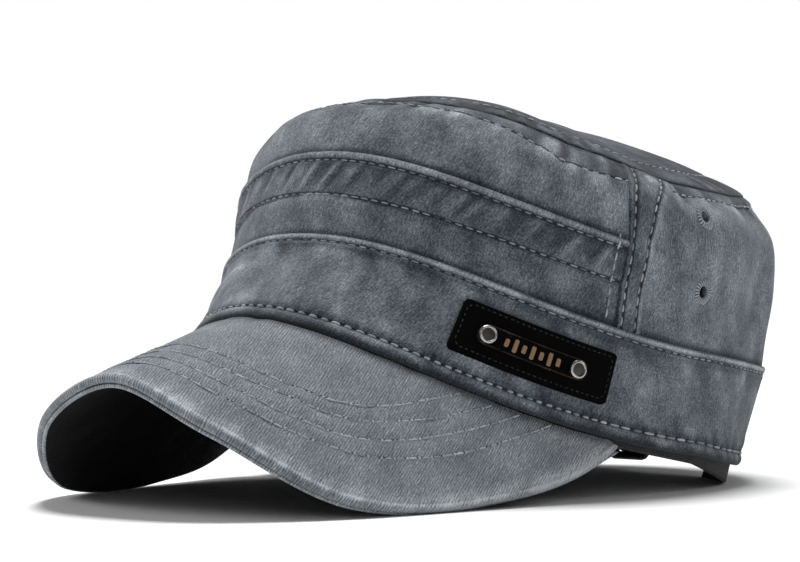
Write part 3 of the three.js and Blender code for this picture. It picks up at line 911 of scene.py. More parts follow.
@dataclass(frozen=True)
class WebbingFinish:
    """Black woven tape: ribs across, threads along."""

    name: str
    stops: tuple[tuple[float, Colour], ...] = ((0.0, (3, 3, 3)), (0.6, (12, 12, 13)), (1.0, (30, 30, 32)))

    def material(self) -> bpy.types.Material:
        """Builds the finish.

        Returns:
            The finish.
        """
        g = Graph(self.name)
        place = g.scaled(g.node("UVMap", uv_map="UVMap").outputs[0], (1000, 1000, 1000))
        parts = g.node("SeparateXYZ", {0: place})
        across = g.math("SINE", g.math("MULTIPLY", parts.outputs[0], 2 * math.pi / 1.3))
        along = g.math("SINE", g.math("MULTIPLY", parts.outputs[1], 2 * math.pi / 0.9))
        weave = g.math("MULTIPLY", across, along)
        fuzz = g.noise(place, scale=3.0, detail=2.0)
        tone = g.math("MULTIPLY_ADD", weave, 0.12, g.math("MULTIPLY_ADD", fuzz, 0.5, 0.5))
        return g.finish({
            "Base Color": g.ramp(tone, self.stops),
            "Roughness": 0.8,
            "Sheen Weight": 0.15,
            "Normal": g.bump(g.math("MULTIPLY_ADD", fuzz, 0.5, weave), 0.0002),
        })


@dataclass(frozen=True)
class Finishes:
    """Every finish of the cap, built once."""

    washed: bpy.types.Material
    shaded: bpy.types.Material
    visor: bpy.types.Material
    under: bpy.types.Material
    webbing: bpy.types.Material
    leather: bpy.types.Material
    bright: bpy.types.Material
    cup: bpy.types.Material
    dark_metal: bpy.types.Material
    thread: bpy.types.Material
    black_thread: bpy.types.Material
    tan: bpy.types.Material

    @classmethod
    def build(cls) -> "Finishes":
        """Builds all of them.

        Returns:
            The finishes.
        """
        black = ((0.0, (8, 8, 9)), (0.5, (28, 28, 31)), (1.0, (70, 72, 77)))
        return cls(
            washed=ClothFinish("washed_twill").material(),
            # The tuck's cloth is a darker copy of the washed cloth, as painted shade.
            shaded=ClothFinish("shaded_twill", tone=0.45).material(),
            visor=ClothFinish(
                "visor_twill", rib_pitch=0.92, rib_turn=24.0, rib=0.14, slub=0.75, mottle=0.55, grain=0.8,
                row_shade=0.75, tone=0.56, sheen=0.3
            ).material(),
            under=ClothFinish("black_lining", stops=black, rib=0.08, sheen=0.0, tone=0.6).material(),
            webbing=WebbingFinish("black_tape").material(),
            leather=LeatherFinish("black_hide", roughness=0.85).material(),
            bright=MetalFinish("nickel_rim", (176, 175, 172), 0.3).material(),
            cup=MetalFinish("nickel_cup", (84, 79, 74), 0.5).material(),
            dark_metal=MetalFinish("dark_steel", (70, 70, 72), 0.35).material(),
            thread=ThreadFinish("washed_thread", (58, 65, 74), (172, 178, 184)).material(),
            black_thread=ThreadFinish("black_thread", (6, 6, 6), (44, 42, 41)).material(),
            tan=ThreadFinish("tan_thread", (96, 72, 52), (162, 128, 96)).material(),
        )


# The stitches below the top seam: angle round the head, and height along the cloth.
SEAM_ROW = (
    (0, 83.6), (19, 83.5), (39, 83.2), (50, 80.4), (60, 79.4), (72, 80.6), (86, 83.6), (115, 88), (180, 88.4),
)


def seam_row(degrees: Array) -> Array:
    """Height along the cloth of the stitches below the top seam."""
    turn = np.abs(np.mod(np.asarray(degrees, float) + 180, 360) - 180)
    return np.interp(turn, *np.array(SEAM_ROW).T)


@dataclass
class CrownCloth:
    """The sewn cloth of the crown: band, panels, tuck, side seams and domed top."""

    finishes: Finishes
    opening_half_angle: float = 27.0
    opening_height: float = 1.42
    opening_roundness: float = 0.62
    joint_angle: float = 70.5
    joint_gap: float = 0.1
    tuck_end: float = 67.6
    top_reach: float = 70.0
    top_row: float = 12.2
    band: Section = Section(
        face=((0.5, -0.9), (0.0, -0.3), (0.4, 0.4), (1.6, 0.8), (2.8, 0.75), (3.7, 0.4), (4.4, 0.05),
              (5.3, 0.2), (9, 0.3), (16, 0.3), (25, 0.35), (28.6, 0.5), (30.4, 0.75), (31.3, 0.5),
              (32.0, 0.75), (32.8, 1.05), (33.6, 0.95), (34.0, 0.5), (33.8, 0.1)),
        back=((33, 0.2), (30, 0.2), (29.2, -1.8), (15, -1.8), (1.5, -1.8)),
        face_steps=84,
    )
    wall: Section = Section(
        face=((30.4, 0), (40, 0), (60, 0), (80, 0), (90, 0), (92, -0.1), (92.8, -0.5), (92.7, -1.4)),
        back=((91.0, -1.9), (60, -1.8), (30.4, -1.8)),
        face_steps=84,
    )
    tuck: Section = Section(
        face=((46.9, -0.5), (47.6, 0.05), (48.3, 0.05), (49.2, 0.4), (52, 0.6), (56, 0.6), (57.6, 0.7),
              (58.6, 0.4), (59.3, 0.85), (60.0, 1.3), (60.7, 1.2), (61.1, 0.7), (60.9, 0.2)),
        back=((58, -0.1), (50, -0.3)),
        face_steps=44,
        back_steps=6,
    )
    strip: Section = Section(
        face=((-0.04, -0.2), (0.0, 0.35), (0.06, 0.75), (0.13, 0.75), (0.2, 0.5), (0.3, 0.8), (0.6, 0.85),
              (0.78, 0.8), (0.86, 0.45), (0.95, 0.75), (1.06, 0.65), (1.2, 0.2), (1.32, -0.3)),
        back=((1.0, -0.5), (0.2, -0.5)),
        face_steps=34,
        back_steps=4,
    )
    top: Section = Section(
        face=((70, 0), (50, 0), (25, 0), (16, 0.1), (13.2, 0.05), (12.2, -0.2), (11.2, 0.05), (8, 0.3),
              (4, 0.45), (1.8, 0.35), (0.5, 0.0), (-0.1, -0.4), (0.1, -1.0)),
        back=((2.5, -1.9), (30, -1.8), (70, -1.8)),
        face_steps=64,
    )
    # Light and dark along the cloth: rubbed pale ridges with painted highlights on them, and painted shade in
    # grooves, along seams and under folds. Each row: height along the cloth, width, and how much.
    band_wear_and_shade: Table = ((32.9, 0.6, 1.1), (3, 0.9, 0.1), (0, 1.7, -1.6), (5.6, 1, -0.5), (29.6, 1, -0.45))
    panel_wear_and_shade: Table = ((90.5, 1.4, 0.1), (93.0, 1.2, -1.2), (34.6, 1.1, -0.9))
    tuck_wear_and_shade: Table = ((54, 5, -0.2), (60.1, 0.7, 0.8), (57.6, 0.9, -0.5), (47.2, 0.6, -0.6))
    # The same across a side seam's strip, and inward from the top seam.
    strip_wear_and_shade: Table = ((0.1, 0.06, 0.1), (1.04, 0.1, 0.45), (-0.04, 0.08, -1.4), (0.5, 0.25, -0.25))
    top_wear_and_shade: Table = ((1.9, 1.0, 0.2), (-0.3, 1.1, -1.1))
    band_puckers: Table = ((28, 3, 0.3), (7.5, 3.5, 0.34), (2, 2, 0.3))
    # Front and rear stitches of a side seam: height along the cloth, and their angles.
    strip_rows: Table = (
        (32.8, 69.3, 72.4), (47.8, 68.9, 72.0), (62.8, 68.7, 72.5), (70.5, 69.0, 74.2), (75.4, 69.5, 75.8),
        (85.0, 71.6, 80.5), (92.0, 73.0, 84.0),
    )

    def build(self) -> None:
        """Makes every piece."""
        self.build_band()
        self.build_front()
        self.build_back()
        self.build_tuck()
        self.build_strip("left", 1)
        self.build_strip("right", -1)
        self.build_top()

    def opening_turn(self, height: Array) -> Array:
        """Angle from the back's middle to the opening's edge, at a height."""
        share = np.clip(level_of(height) / self.opening_height, 0, 1)
        return self.opening_half_angle * np.sqrt(1 - share ** (2 / self.opening_roundness))

    def opening_low(self, degrees: Array) -> Array:
        """Height of the opening's edge at an angle, 0 outside it."""
        share = np.clip(np.abs(degrees - 180) / self.opening_half_angle, 0, 1)
        return height_of(self.opening_height * (1 - share**2) ** (self.opening_roundness / 2))

    @staticmethod
    def hem_dip(degrees: Array) -> Array:
        """How near a needle hole of the hem an angle is, from 0 to 1.

        Args:
            degrees: Angles round the head.

        Returns:
            1 at each needle hole and 0 halfway between.
        """
        phase = 0.0
        run = CROWN.arc(degrees, HEM_HEIGHT)
        for start, end, pitch in HEM_ROWS:
            first, last = CROWN.arc(np.array([start, end]), HEM_HEIGHT)
            phase = phase + np.clip((run - first) / (last - first), 0, 1) * round((last - first) / pitch)
        return (0.5 + 0.5 * np.cos(2 * np.pi * phase)) ** 2

    def undulation(self, degrees: Array, height: Array) -> Array:
        """Slow swells of washed cloth, in millimetres."""
        broad = ring_noise(degrees, height, 24, 22, 3) * 0.5
        return broad + ring_noise(degrees + height * 0.2, height, 60, 13, 4) * 0.22

    def band_relief(self, degrees: Array, height: Array) -> tuple[Array, Array]:
        """Height, and wear with painted light and shade, of the band's face.

        Args:
            degrees: Angles round the head.
            height: Millimetres along the cloth from the rim.

        Returns:
            Millimetres out of the cloth, and wear_and_shade: rubbed wear with painted light and shade.
        """
        rope = ring_noise(degrees + height * 0.35, height * 0.3, 120, 7, 5)
        puckers = rope * bells(height, self.band_puckers)
        crease = bump(degrees, -32, 24) * bump(height, 17 + 5 * np.sin((degrees + 40) / 16), 1.9)
        swells = self.undulation(degrees, height) * smooth(height, 4, 10) * (1 - smooth(height, 27, 31))
        dip = self.hem_dip(degrees)
        lift = puckers + swells + 0.7 * crease - 0.36 * dip * bump(height, 4.6, 1.3)
        # Raised puckers are painted lighter and sunk ones darker, as painted light and shade of the relief;
        # the crease is paler, partly rubbed and partly painted highlight; the hem's needle holes are painted
        # dark as shade.
        wear_and_shade = bells(height, self.band_wear_and_shade) + 0.8 * crease + 2.2 * puckers
        return lift, wear_and_shade - 0.6 * dip * bump(height, 4.8, 1.3)

    def build_band(self) -> None:
        """The wide band, its hem rolled and its upper edge folded into a ridge."""
        run = run_along(self.band.points())

        def lay(along: Array, step: Array) -> Laid:
            """Lays the band.

            Args:
                along: From 0 to 1 along the piece.
                step: Steps round its section.

            Returns:
                The laid points.
            """
            height, offset, outside = self.band.read(step)
            degrees = (2 * along - 1) * (180 - self.opening_turn(np.clip(height, 0, 33)))
            lift, wear_and_shade = self.band_relief(degrees, height)
            points = CROWN.on(degrees, height, offset + np.where(outside, lift, 0))
            uv = np.stack([CROWN.arc(degrees, 16), run[step]], -1)
            # The band's inside faces are painted dark as shade.
            return Laid(points, uv, np.where(outside, wear_and_shade, -0.5), count_rows(height, HEM_HEIGHT, 31.3))

        piece = lay_cloth("band_cloth", 560, self.band.steps, lay)
        put(dress(piece, self.finishes.washed), Slot.WASHED, "band")

    def panel_relief(self, degrees: Array, height: Array) -> tuple[Array, Array]:
        """Height, and wear with painted light and shade, of the panels' faces.

        Args:
            degrees: Angles round the head.
            height: Millimetres along the cloth from the rim.

        Returns:
            Millimetres out of the cloth, and wear_and_shade: rubbed wear with painted light and shade.
        """
        row = seam_row(degrees)
        gather = ring_noise(degrees + (92 - height) * 0.15, height * 0.35, 130, 6, 7)
        gather = gather * smooth(height, row - 9, row - 1) * (1 - 0.7 * smooth(height, 89, 92))
        swells = self.undulation(degrees, height)
        roll = 0.5 * bump(height, (row + 92) / 2, (92.5 - row) * 0.36) - 0.25 * bump(height, row, 1.0)
        lift = 0.5 * gather + roll + swells * (1 - smooth(height, 84, 91))
        # Gathers and swells are painted lighter where raised and darker where sunk, as painted light and
        # shade, and the cloth from the stitch row up to the top seam is painted dark as shade.
        wear_and_shade = 1.2 * gather + 0.5 * swells + bells(height, self.panel_wear_and_shade)
        return lift, wear_and_shade - 0.7 * smooth(height, row - 1, row + 1.5)

    def lay_panel(self, degrees: Array, height: Array, offset: Array, outside: Array, front: bool) -> Laid:
        """Lays a panel's points, with its relief on the face.

        Args:
            degrees: Angles round the head.
            height: Millimetres along the cloth from the rim.
            offset: Millimetres out of the cloth, before the relief.
            outside: True on the face.
            front: True on the front panel, which has the tuck.

        Returns:
            The laid points.
        """
        lift, wear_and_shade = self.panel_relief(degrees, height)
        if front:
            inside_tuck = 1 - smooth(np.abs(degrees), self.tuck_end - 1, self.tuck_end)
            # Just above the tuck's ridge the cloth is painted dark as its shadow, with painted light a little
            # higher; a painted shade line runs down each end of the tuck.
            wear_and_shade = wear_and_shade - inside_tuck * (1.0 * bump(height, 61.6, 0.9) - 0.2 * bump(height, 69, 4))
            lift = lift - inside_tuck * 0.3 * (smooth(height, 46, 48) - smooth(height, 60, 62))
            wear_and_shade = wear_and_shade - 0.9 * bump(np.abs(degrees), 68.4, 0.8)
        points = CROWN.on(degrees, height, offset + np.where(outside, lift, 0))
        uv = np.stack([CROWN.arc(degrees, 48), height], -1)
        # The panels' inside faces are painted dark as shade.
        return Laid(points, uv, np.where(outside, wear_and_shade, -0.4), count_rows(height, seam_row(degrees)))

    def build_front(self) -> None:
        """The front panel, gathered a little below the top seam."""

        def lay(along: Array, step: Array) -> Laid:
            """Lays the front panel."""
            degrees = (2 * along - 1) * (self.joint_angle - self.joint_gap)
            return self.lay_panel(degrees, *self.wall.read(step), True)

        piece = lay_cloth("front_cloth", 240, self.wall.steps, lay)
        put(dress(piece, self.finishes.washed), Slot.WASHED, "front_panel")

    def build_back(self) -> None:
        """The back panel, arched over the opening, which the vents later pierce."""
        low = self.wall.points()[:, 0].min()
        start = self.joint_angle + self.joint_gap

        def lay(along: Array, step: Array) -> Laid:
            """Lays the back panel.

            Args:
                along: From 0 to 1 along the piece.
                step: Steps round its section.

            Returns:
                The laid points.
            """
            place, offset, outside = self.wall.read(step)
            degrees = start + along * (360 - 2 * start)
            foot = np.maximum(low, self.opening_low(degrees))
            height = foot + (place - low) / (SEAM_HEIGHT - low) * (SEAM_HEIGHT - foot)
            return self.lay_panel(degrees, height, offset, outside, False)

        piece = lay_cloth("back_cloth", 350, self.wall.steps, lay)
        put(dress(piece, self.finishes.washed), Slot.WASHED, "back_panel")

    def build_tuck(self) -> None:
        """The tuck across the front panel, puckered below its ridge."""

        def lay(along: Array, step: Array) -> Laid:
            """Lays the tuck.

            Args:
                along: From 0 to 1 along the piece.
                step: Steps round its section.

            Returns:
                The laid points.
            """
            height, offset, outside = self.tuck.read(step)
            degrees = (2 * along - 1) * self.tuck_end
            pucker = ring_noise(degrees - height * 0.3, height * 0.1, 210, 3, 9)
            swell = bump(height, 54, 4.2)
            lift = pucker * swell * 0.55 + ring_noise(degrees, height, 150, 6, 10) * 0.12
            points = CROWN.on(degrees, height, offset + np.where(outside, lift, 0))
            # The puckers are painted lighter where raised and darker where sunk, with a painted highlight on
            # the tuck's ridge and painted shade under it and along its lower edge.
            wear_and_shade = 0.8 * pucker * swell + bells(height, self.tuck_wear_and_shade)
            uv = np.stack([CROWN.arc(degrees, 48), height], -1)
            return Laid(points, uv, wear_and_shade, count_rows(height, 48.4, 58.6))

        piece = lay_cloth("tuck_cloth", 260, self.tuck.steps, lay)
        put(dress(piece, self.finishes.shaded), Slot.SHADED, "tuck_strip")

    def strip_edges(self, height: Array) -> tuple[Array, Array]:
        """Front and rear stitch angles of a side seam, at a height."""
        heights, front, rear = np.array(self.strip_rows).T
        return np.interp(height, heights, front), np.interp(height, heights, rear)

    def build_strip(self, side: str, sign: int) -> None:
        """The felled strip over the joint of the panels.

        Args:
            side: left or right, as the wearer has it.
            sign: 1 on the left and -1 on the right.
        """
        low, high, width = 33.4, 92.0, 6.0

        def lay(along: Array, step: Array) -> Laid:
            """Lays the strip.

            Args:
                along: From 0 to 1 along the piece.
                step: Steps round its section.

            Returns:
                The laid points.
            """
            across, offset, outside = self.strip.read(step)
            height = low + along * (high - low)
            front, rear = self.strip_edges(height)
            degrees = sign * (front + (rear - front) * (across - 0.2) / 0.66)
            ends = smooth(height, low, 35) * (1 - smooth(height, 90, high))
            rough = ring_noise(degrees * 3, height, 90, 4, 12) * 0.15
            lift = np.where(outside, rough, 0) - (1 - ends) * 0.5
            points = CROWN.on(degrees, height, offset + lift)
            # Painted highlights run along the strip's folded edges, painted shade along its front edge and
            # down its middle; the noise is the cloth's own uneven tone.
            wear_and_shade = bells(across, self.strip_wear_and_shade) + ring_noise(degrees * 2, height, 60, 6, 13) * 0.3
            row = np.where(across < 0.53, (across - 0.2) * width, ROW_PERIOD + (across - 0.86) * width)
            uv = np.stack([CROWN.arc(degrees, 48), height], -1)
            return Laid(points, uv, wear_and_shade, row)

        piece = lay_cloth("side_seam_cloth_" + side, 110, self.strip.steps, lay)
        put(dress(piece, self.finishes.washed), Slot.WASHED, "side_seam_" + side)

    def build_top(self) -> None:
        """The domed top, its edge folded into a lip over the seam."""
        rows = self.top.points()
        rows[-1] = (self.top_reach, self.top.back[-1][1])

        def lay(along: Array, step: Array) -> Laid:
            """Lays the top.

            Args:
                along: From 0 to 1 along the piece.
                step: Steps round its section.

            Returns:
                The laid points.
            """
            degrees = along * 360
            inward_mm, offset = rows[step, 0], rows[step, 1]
            outside = step <= self.top.face_steps
            gather = ring_noise(degrees, inward_mm * 0.3, 120, 5, 14) * bump(inward_mm, 6, 7)
            within = smooth(inward_mm, 6, 20) * (1 - smooth(inward_mm, 50, 68))
            broad = ring_noise(degrees, inward_mm, 9, 21, 15) * within
            lift = np.where(outside, gather * 0.45 + broad * 0.7, 0)
            points = CROWN.on_top(degrees, inward_mm / self.top_reach, offset + lift)
            # The gathers are painted lighter where raised and darker where sunk, the lip's edge painted dark,
            # and the whole top painted darker, more so towards the seam, as painted shade; its inside is
            # painted dark as shade.
            wear_and_shade = bells(inward_mm, self.top_wear_and_shade) + 1.1 * gather
            wear_and_shade = np.where(outside, wear_and_shade - 0.75 * (1 - smooth(inward_mm, 10, 40)) - 0.3, -0.4)
            return Laid(points, points[..., :2], wear_and_shade, count_rows(inward_mm, self.top_row))

        piece = lay_cloth("top_cloth", 480, len(rows) - 1, lay, ring=False)
        put(dress(piece, self.finishes.washed), Slot.WASHED, "top_panel")


@dataclass(frozen=True)
class Layer:
    """A layer of the visor: out along its face, round its edge and back below.

    Its edge gives millimetres in from the free edge, and above the top cloth. The other places are
    millimetres above the top cloth too.
    """

    edge: Table
    face: float
    back: float
    middle: float
    quilted: bool
    face_steps: int
    edge_steps: int
    back_steps: int

    @property
    def steps(self) -> int:
        """Number of steps round the layer."""
        return self.face_steps + self.edge_steps + self.back_steps + 1

    def read(self, step: Array) -> tuple[Array, Array, Array, Array]:
        """Reads the layer's section.

        Args:
            step: Steps round it.

        Returns:
            Millimetres in from the edge, share of the way out to the edge, millimetres above the top
            cloth, and True on the face.
        """
        returned = np.clip(step - self.face_steps - self.edge_steps, 0, self.back_steps)
        face = (step < self.face_steps) | (step >= self.steps)
        rolled = np.clip(step - self.face_steps, 0, self.edge_steps)
        inset, offset = smooth_path(self.edge, self.edge_steps)[rolled].T
        share = np.where(step < self.face_steps, step / self.face_steps, 1.0)
        share = np.where(returned > 0, (1 - returned / self.back_steps) * 0.999, share)
        offset = np.where(returned > 0, self.back, offset)
        return inset, share, np.where(face, self.face, offset), face


@dataclass
class Visor:
    """The arched visor: ribbed cloth over a board, with a dark lining below."""

    finishes: Finishes
    upper: Layer = Layer(
        edge=((2.6, 0), (2.0, 0.12), (1.2, 0.05), (0.4, -0.4), (0.0, -1.1), (0.1, -1.9), (0.7, -2.45)),
        face=0.0, back=-2.6, middle=-1.3, quilted=True, face_steps=96, edge_steps=16, back_steps=10,
    )
    lining: Layer = Layer(
        edge=((0.9, -2.75), (0.4, -2.8), (0.1, -3.1), (0.1, -3.6), (0.6, -3.95), (1.6, -4.15)),
        face=-2.85, back=-4.2, middle=-3.5, quilted=False, face_steps=24, edge_steps=10, back_steps=24,
    )
    mm_per_degree: float = 1.36
    tip_round: float = 1.6
    nose: float = 1.4
    roll: float = 2.6
    # Four rows of stitches, each by station and by its place from the rim to the free edge.
    rows: tuple[Table, ...] = (
        ((0, 0.48), (0.19, 0.475), (0.329, 0.468), (0.397, 0.432), (0.46, 0.37), (0.525, 0.255),
         (0.564, 0.165), (0.609, 0.068), (0.643, -0.02), (0.843, -0.7), (1, -1.4)),
        ((0, 0.59), (0.215, 0.57), (0.348, 0.545), (0.4, 0.527), (0.462, 0.485), (0.521, 0.4),
         (0.564, 0.33), (0.608, 0.26), (0.648, 0.163), (0.688, 0.07), (0.716, -0.02), (0.895, -0.6),
         (1, -1.2)),
        ((0, 0.69), (0.127, 0.682), (0.265, 0.67), (0.331, 0.67), (0.387, 0.647), (0.449, 0.618),
         (0.512, 0.56), (0.554, 0.505), (0.597, 0.443), (0.641, 0.362), (0.686, 0.27), (0.726, 0.165),
         (0.774, 0.01), (0.801, -0.1), (1, -1.1)),
        ((0, 0.79), (0.172, 0.775), (0.304, 0.768), (0.36, 0.76), (0.416, 0.735), (0.467, 0.703),
         (0.524, 0.672), (0.561, 0.64), (0.608, 0.59), (0.656, 0.535), (0.699, 0.468), (0.738, 0.385),
         (0.773, 0.285), (0.815, 0.155), (0.847, 0.02), (0.874, -0.12), (1, -0.9)),
    )

    def row_across(self, index: int, station: Array) -> Array:
        """Where a row of stitches crosses the visor, 0 at the rim and 1 at the free edge."""
        stations, across = np.array(self.rows[index]).T
        return np.interp(np.abs(station), stations, across)

    def row_phase(self, station: Array, across: Array) -> Array:
        """Counts the rows of stitches across the visor, a period apart.

        Args:
            station: -1 and 1 at the visor's tips, 0 at its middle.
            across: 0 at the rim and 1 at the free edge.

        Returns:
            The count at each point.
        """
        width = VISOR.width(station)
        places = np.stack([self.row_across(i, station) for i in range(len(self.rows))], -1)
        phase = ROW_PERIOD - np.clip((places[:, 0] - across) * width, 0, NO_ROW)
        for i in range(len(self.rows) - 1):
            share = (across - places[:, i]) / (places[:, i + 1] - places[:, i])
            phase = phase + ROW_PERIOD * np.clip(share, 0, 1)
        return phase + np.clip((across - places[:, -1]) * width, 0, NO_ROW)

    def lateral(self, station: Array, across: Array) -> Array:
        """Millimetres along the cloth from the visor's middle line.

        Args:
            station: -1 and 1 at the visor's tips, 0 at its middle.
            across: 0 at the rim and 1 at the free edge.

        Returns:
            Lengths, negative on the wearer's right.
        """
        steps = np.linspace(-1, 1, 241)
        levels = np.linspace(0, 1, 13)
        grid = []
        for level in levels:
            points = VISOR.at(steps, level)
            normals = VISOR.normal(steps, np.clip(level, *INSIDE))
            stretch = np.sqrt(1 + (normals[:, 0] / normals[:, 2]) ** 2)
            run = np.diff(points[:, 0]) * (stretch[1:] + stretch[:-1]) / 2
            length = np.concatenate([[0], np.cumsum(run)])
            grid.append(np.interp(station, steps, length - length[len(steps) // 2]))
        place = np.clip(across, 0, 1) * (len(levels) - 1)
        low = np.clip(np.floor(place).astype(int), 0, len(levels) - 2)
        near, far = (np.take_along_axis(np.array(grid), low[None] + i, 0)[0] for i in (0, 1))
        return near * (1 - place + low) + far * (place - low)

    def lay(self, layer: Layer, along: Array, step: Array) -> Laid:
        """Lays a layer, its ends rounded about its middle.

        Args:
            layer: The layer.
            along: From 0 to 1, from tip to tip.
            step: Steps round its section.

        Returns:
            The laid points.
        """
        inset, share, offset, face = layer.read(step)
        station = 2 * along - 1
        degrees = station * VISOR.tip_angle
        from_tip = (VISOR.tip_angle - np.abs(degrees)) * self.mm_per_degree
        end = from_tip / self.tip_round
        rounding = np.sqrt(1 - (1 - np.clip(end, 0, 1)) ** 2 * 0.97)
        offset = layer.middle + (offset - layer.middle) * rounding
        width = VISOR.width(station)
        roll = np.minimum(self.roll, width * 0.4)
        across = np.where(share < 1, share * (1 - roll / width), 1 - inset * roll / self.roll / width)
        phase = self.row_phase(station, across)
        apart = np.abs(np.mod(phase + NO_ROW, ROW_PERIOD) - NO_ROW)
        between = (phase > ROW_PERIOD) & (phase < ROW_PERIOD * len(self.rows))
        quilt = np.where(between, 0.22 * smooth(apart, 0, 4), 0)
        broad = ring_noise(degrees * 1.7, across * width, 60, 16, 21) * 0.25
        thin = smooth(width, 3, 14) * (1 - smooth(share, 0.94, 1))
        lift = np.where(face & layer.quilted, (quilt + broad) * thin, 0)
        nose = self.nose * np.sqrt(np.clip(from_tip / 2.5, 0, 1)) * (1 - smooth(from_tip, 3, 13))
        outward = CROWN.normal(degrees, np.zeros_like(degrees))
        points = VISOR.on(station, across, offset + lift) + (nose * np.minimum(share, 1))[:, None] * outward
        points[:, 2] = np.maximum(points[:, 2], FLOOR)
        uv = np.stack([self.lateral(station, across), -points[:, 1]], -1)
        # The rolled free edge and the rounded tips are paler, partly rubbed and partly painted highlight; the
        # visor is painted lighter towards its tips as painted light, and a painted shadow runs along the rim
        # where it meets the band.
        crest_wear_and_highlight = bump(inset, 1.9, 1.0) * (share >= 1) + 0.6 * bump((1 - across) * width, 4.0, 2.5)
        crest_wear_and_highlight = crest_wear_and_highlight + 0.8 * (1 - smooth(end, 0.3, 2.2))
        wear_and_shade = 1.15 * crest_wear_and_highlight * (0.7 + 0.5 * ring_noise(degrees, across * 9, 260, 3, 22))
        wear_and_shade = wear_and_shade + 0.4 * smooth(np.abs(station), 0.55, 0.95) - 1.6 * bump(across * width, 0.0, 2.0)
        wear_and_shade = wear_and_shade + 0.1 * ring_noise(degrees, across * width, 40, 10, 23)
        return Laid(points, uv, wear_and_shade, phase)

    def lay_lining(self, along: Array, step: Array) -> Laid:
        """Lays the lining, its lip along the free edge lighter, and the rest painted lighter towards the tips
        as painted light.

        Args:
            along: From 0 to 1, from tip to tip.
            step: Steps round its section.

        Returns:
            The laid points.
        """
        laid = self.lay(self.lining, along, step)
        on_lip = (step >= self.lining.face_steps - 1) & (step < self.lining.face_steps + 8)
        # The lip is marked lighter; the rest is painted lighter towards the tips, as painted light.
        laid.wear_and_shade = np.where(on_lip, 0.5, 0.75 * smooth(np.abs(2 * along - 1), 0.55, 0.95) - 0.8)
        laid.row = NO_ROW
        return laid

    def build(self) -> None:
        """Makes the upper layer and the lining, whose lip shows the upper cloth."""
        piece = lay_cloth("visor_cloth", 380, self.upper.steps, partial(self.lay, self.upper))
        put(dress(piece, self.finishes.visor), Slot.VISOR, "visor_top")
        piece = lay_cloth("visor_lining", 260, self.lining.steps, self.lay_lining)
        dress(piece, self.finishes.under, self.finishes.visor)
        self.mark_lip(piece)
        put(piece, Slot.UNDER, "visor_under")

    def mark_lip(self, piece: bpy.types.Object) -> None:
        """Gives the lip along the free edge the upper cloth.

        Args:
            piece: The lining, whose lip alone has a wear_and_shade above 0.
        """
        edge_wear_and_shade = np.empty(len(piece.data.vertices), np.float32)
        piece.data.attributes["wear_and_shade"].data.foreach_get("value", edge_wear_and_shade)
        for face in piece.data.polygons:
            if all(edge_wear_and_shade[i] > 0 for i in face.vertices):
                face.material_index = 1


@dataclass
class Headband:
    """The black sweatband inside the rim."""

    finishes: Finishes
    end: float = 146.5
    top: float = 26.9
    drop: tuple[float, float] = (78.0, 132.0)
    steps: int = 44
    # Its loop: share of its height, and millimetres out of the crown's cloth.
    loop: Table = (
        (0, -2.1), (0.5, -2.1), (0.97, -2.1), (1, -2.7), (0.97, -3.3), (0.5, -3.3), (0.03, -3.3), (0, -2.7),
        (0, -2.1),
    )

    def build(self) -> None:
        """Makes the band of tape, open at the back."""
        section = smooth_path(self.loop, self.steps)
        section[-1] = section[0]

        def lay(along: Array, step: Array) -> Laid:
            """Lays the band of tape.

            Args:
                along: From 0 to 1 along the piece.
                step: Steps round its section.

            Returns:
                The laid points.
            """
            degrees = (2 * along - 1) * self.end
            low = -1.6 - 5.0 * smooth(np.abs(degrees), *self.drop)
            height = low + (self.top - low) * section[step, 0]
            ripple = ring_noise(degrees, height, 70, 12, 31) * 0.25
            points = CROWN.on(degrees, height, section[step, 1] + ripple * (section[step, 1] < -2.8))
            points[:, 2] = np.maximum(points[:, 2], FLOOR)
            uv = np.stack([CROWN.arc(degrees, 10), height], -1)
            return Laid(points, uv, 0.0)

        piece = lay_cloth("sweatband_tape", 300, self.steps, lay)
        put(dress(piece, self.finishes.webbing), Slot.WEBBING, "sweatband")


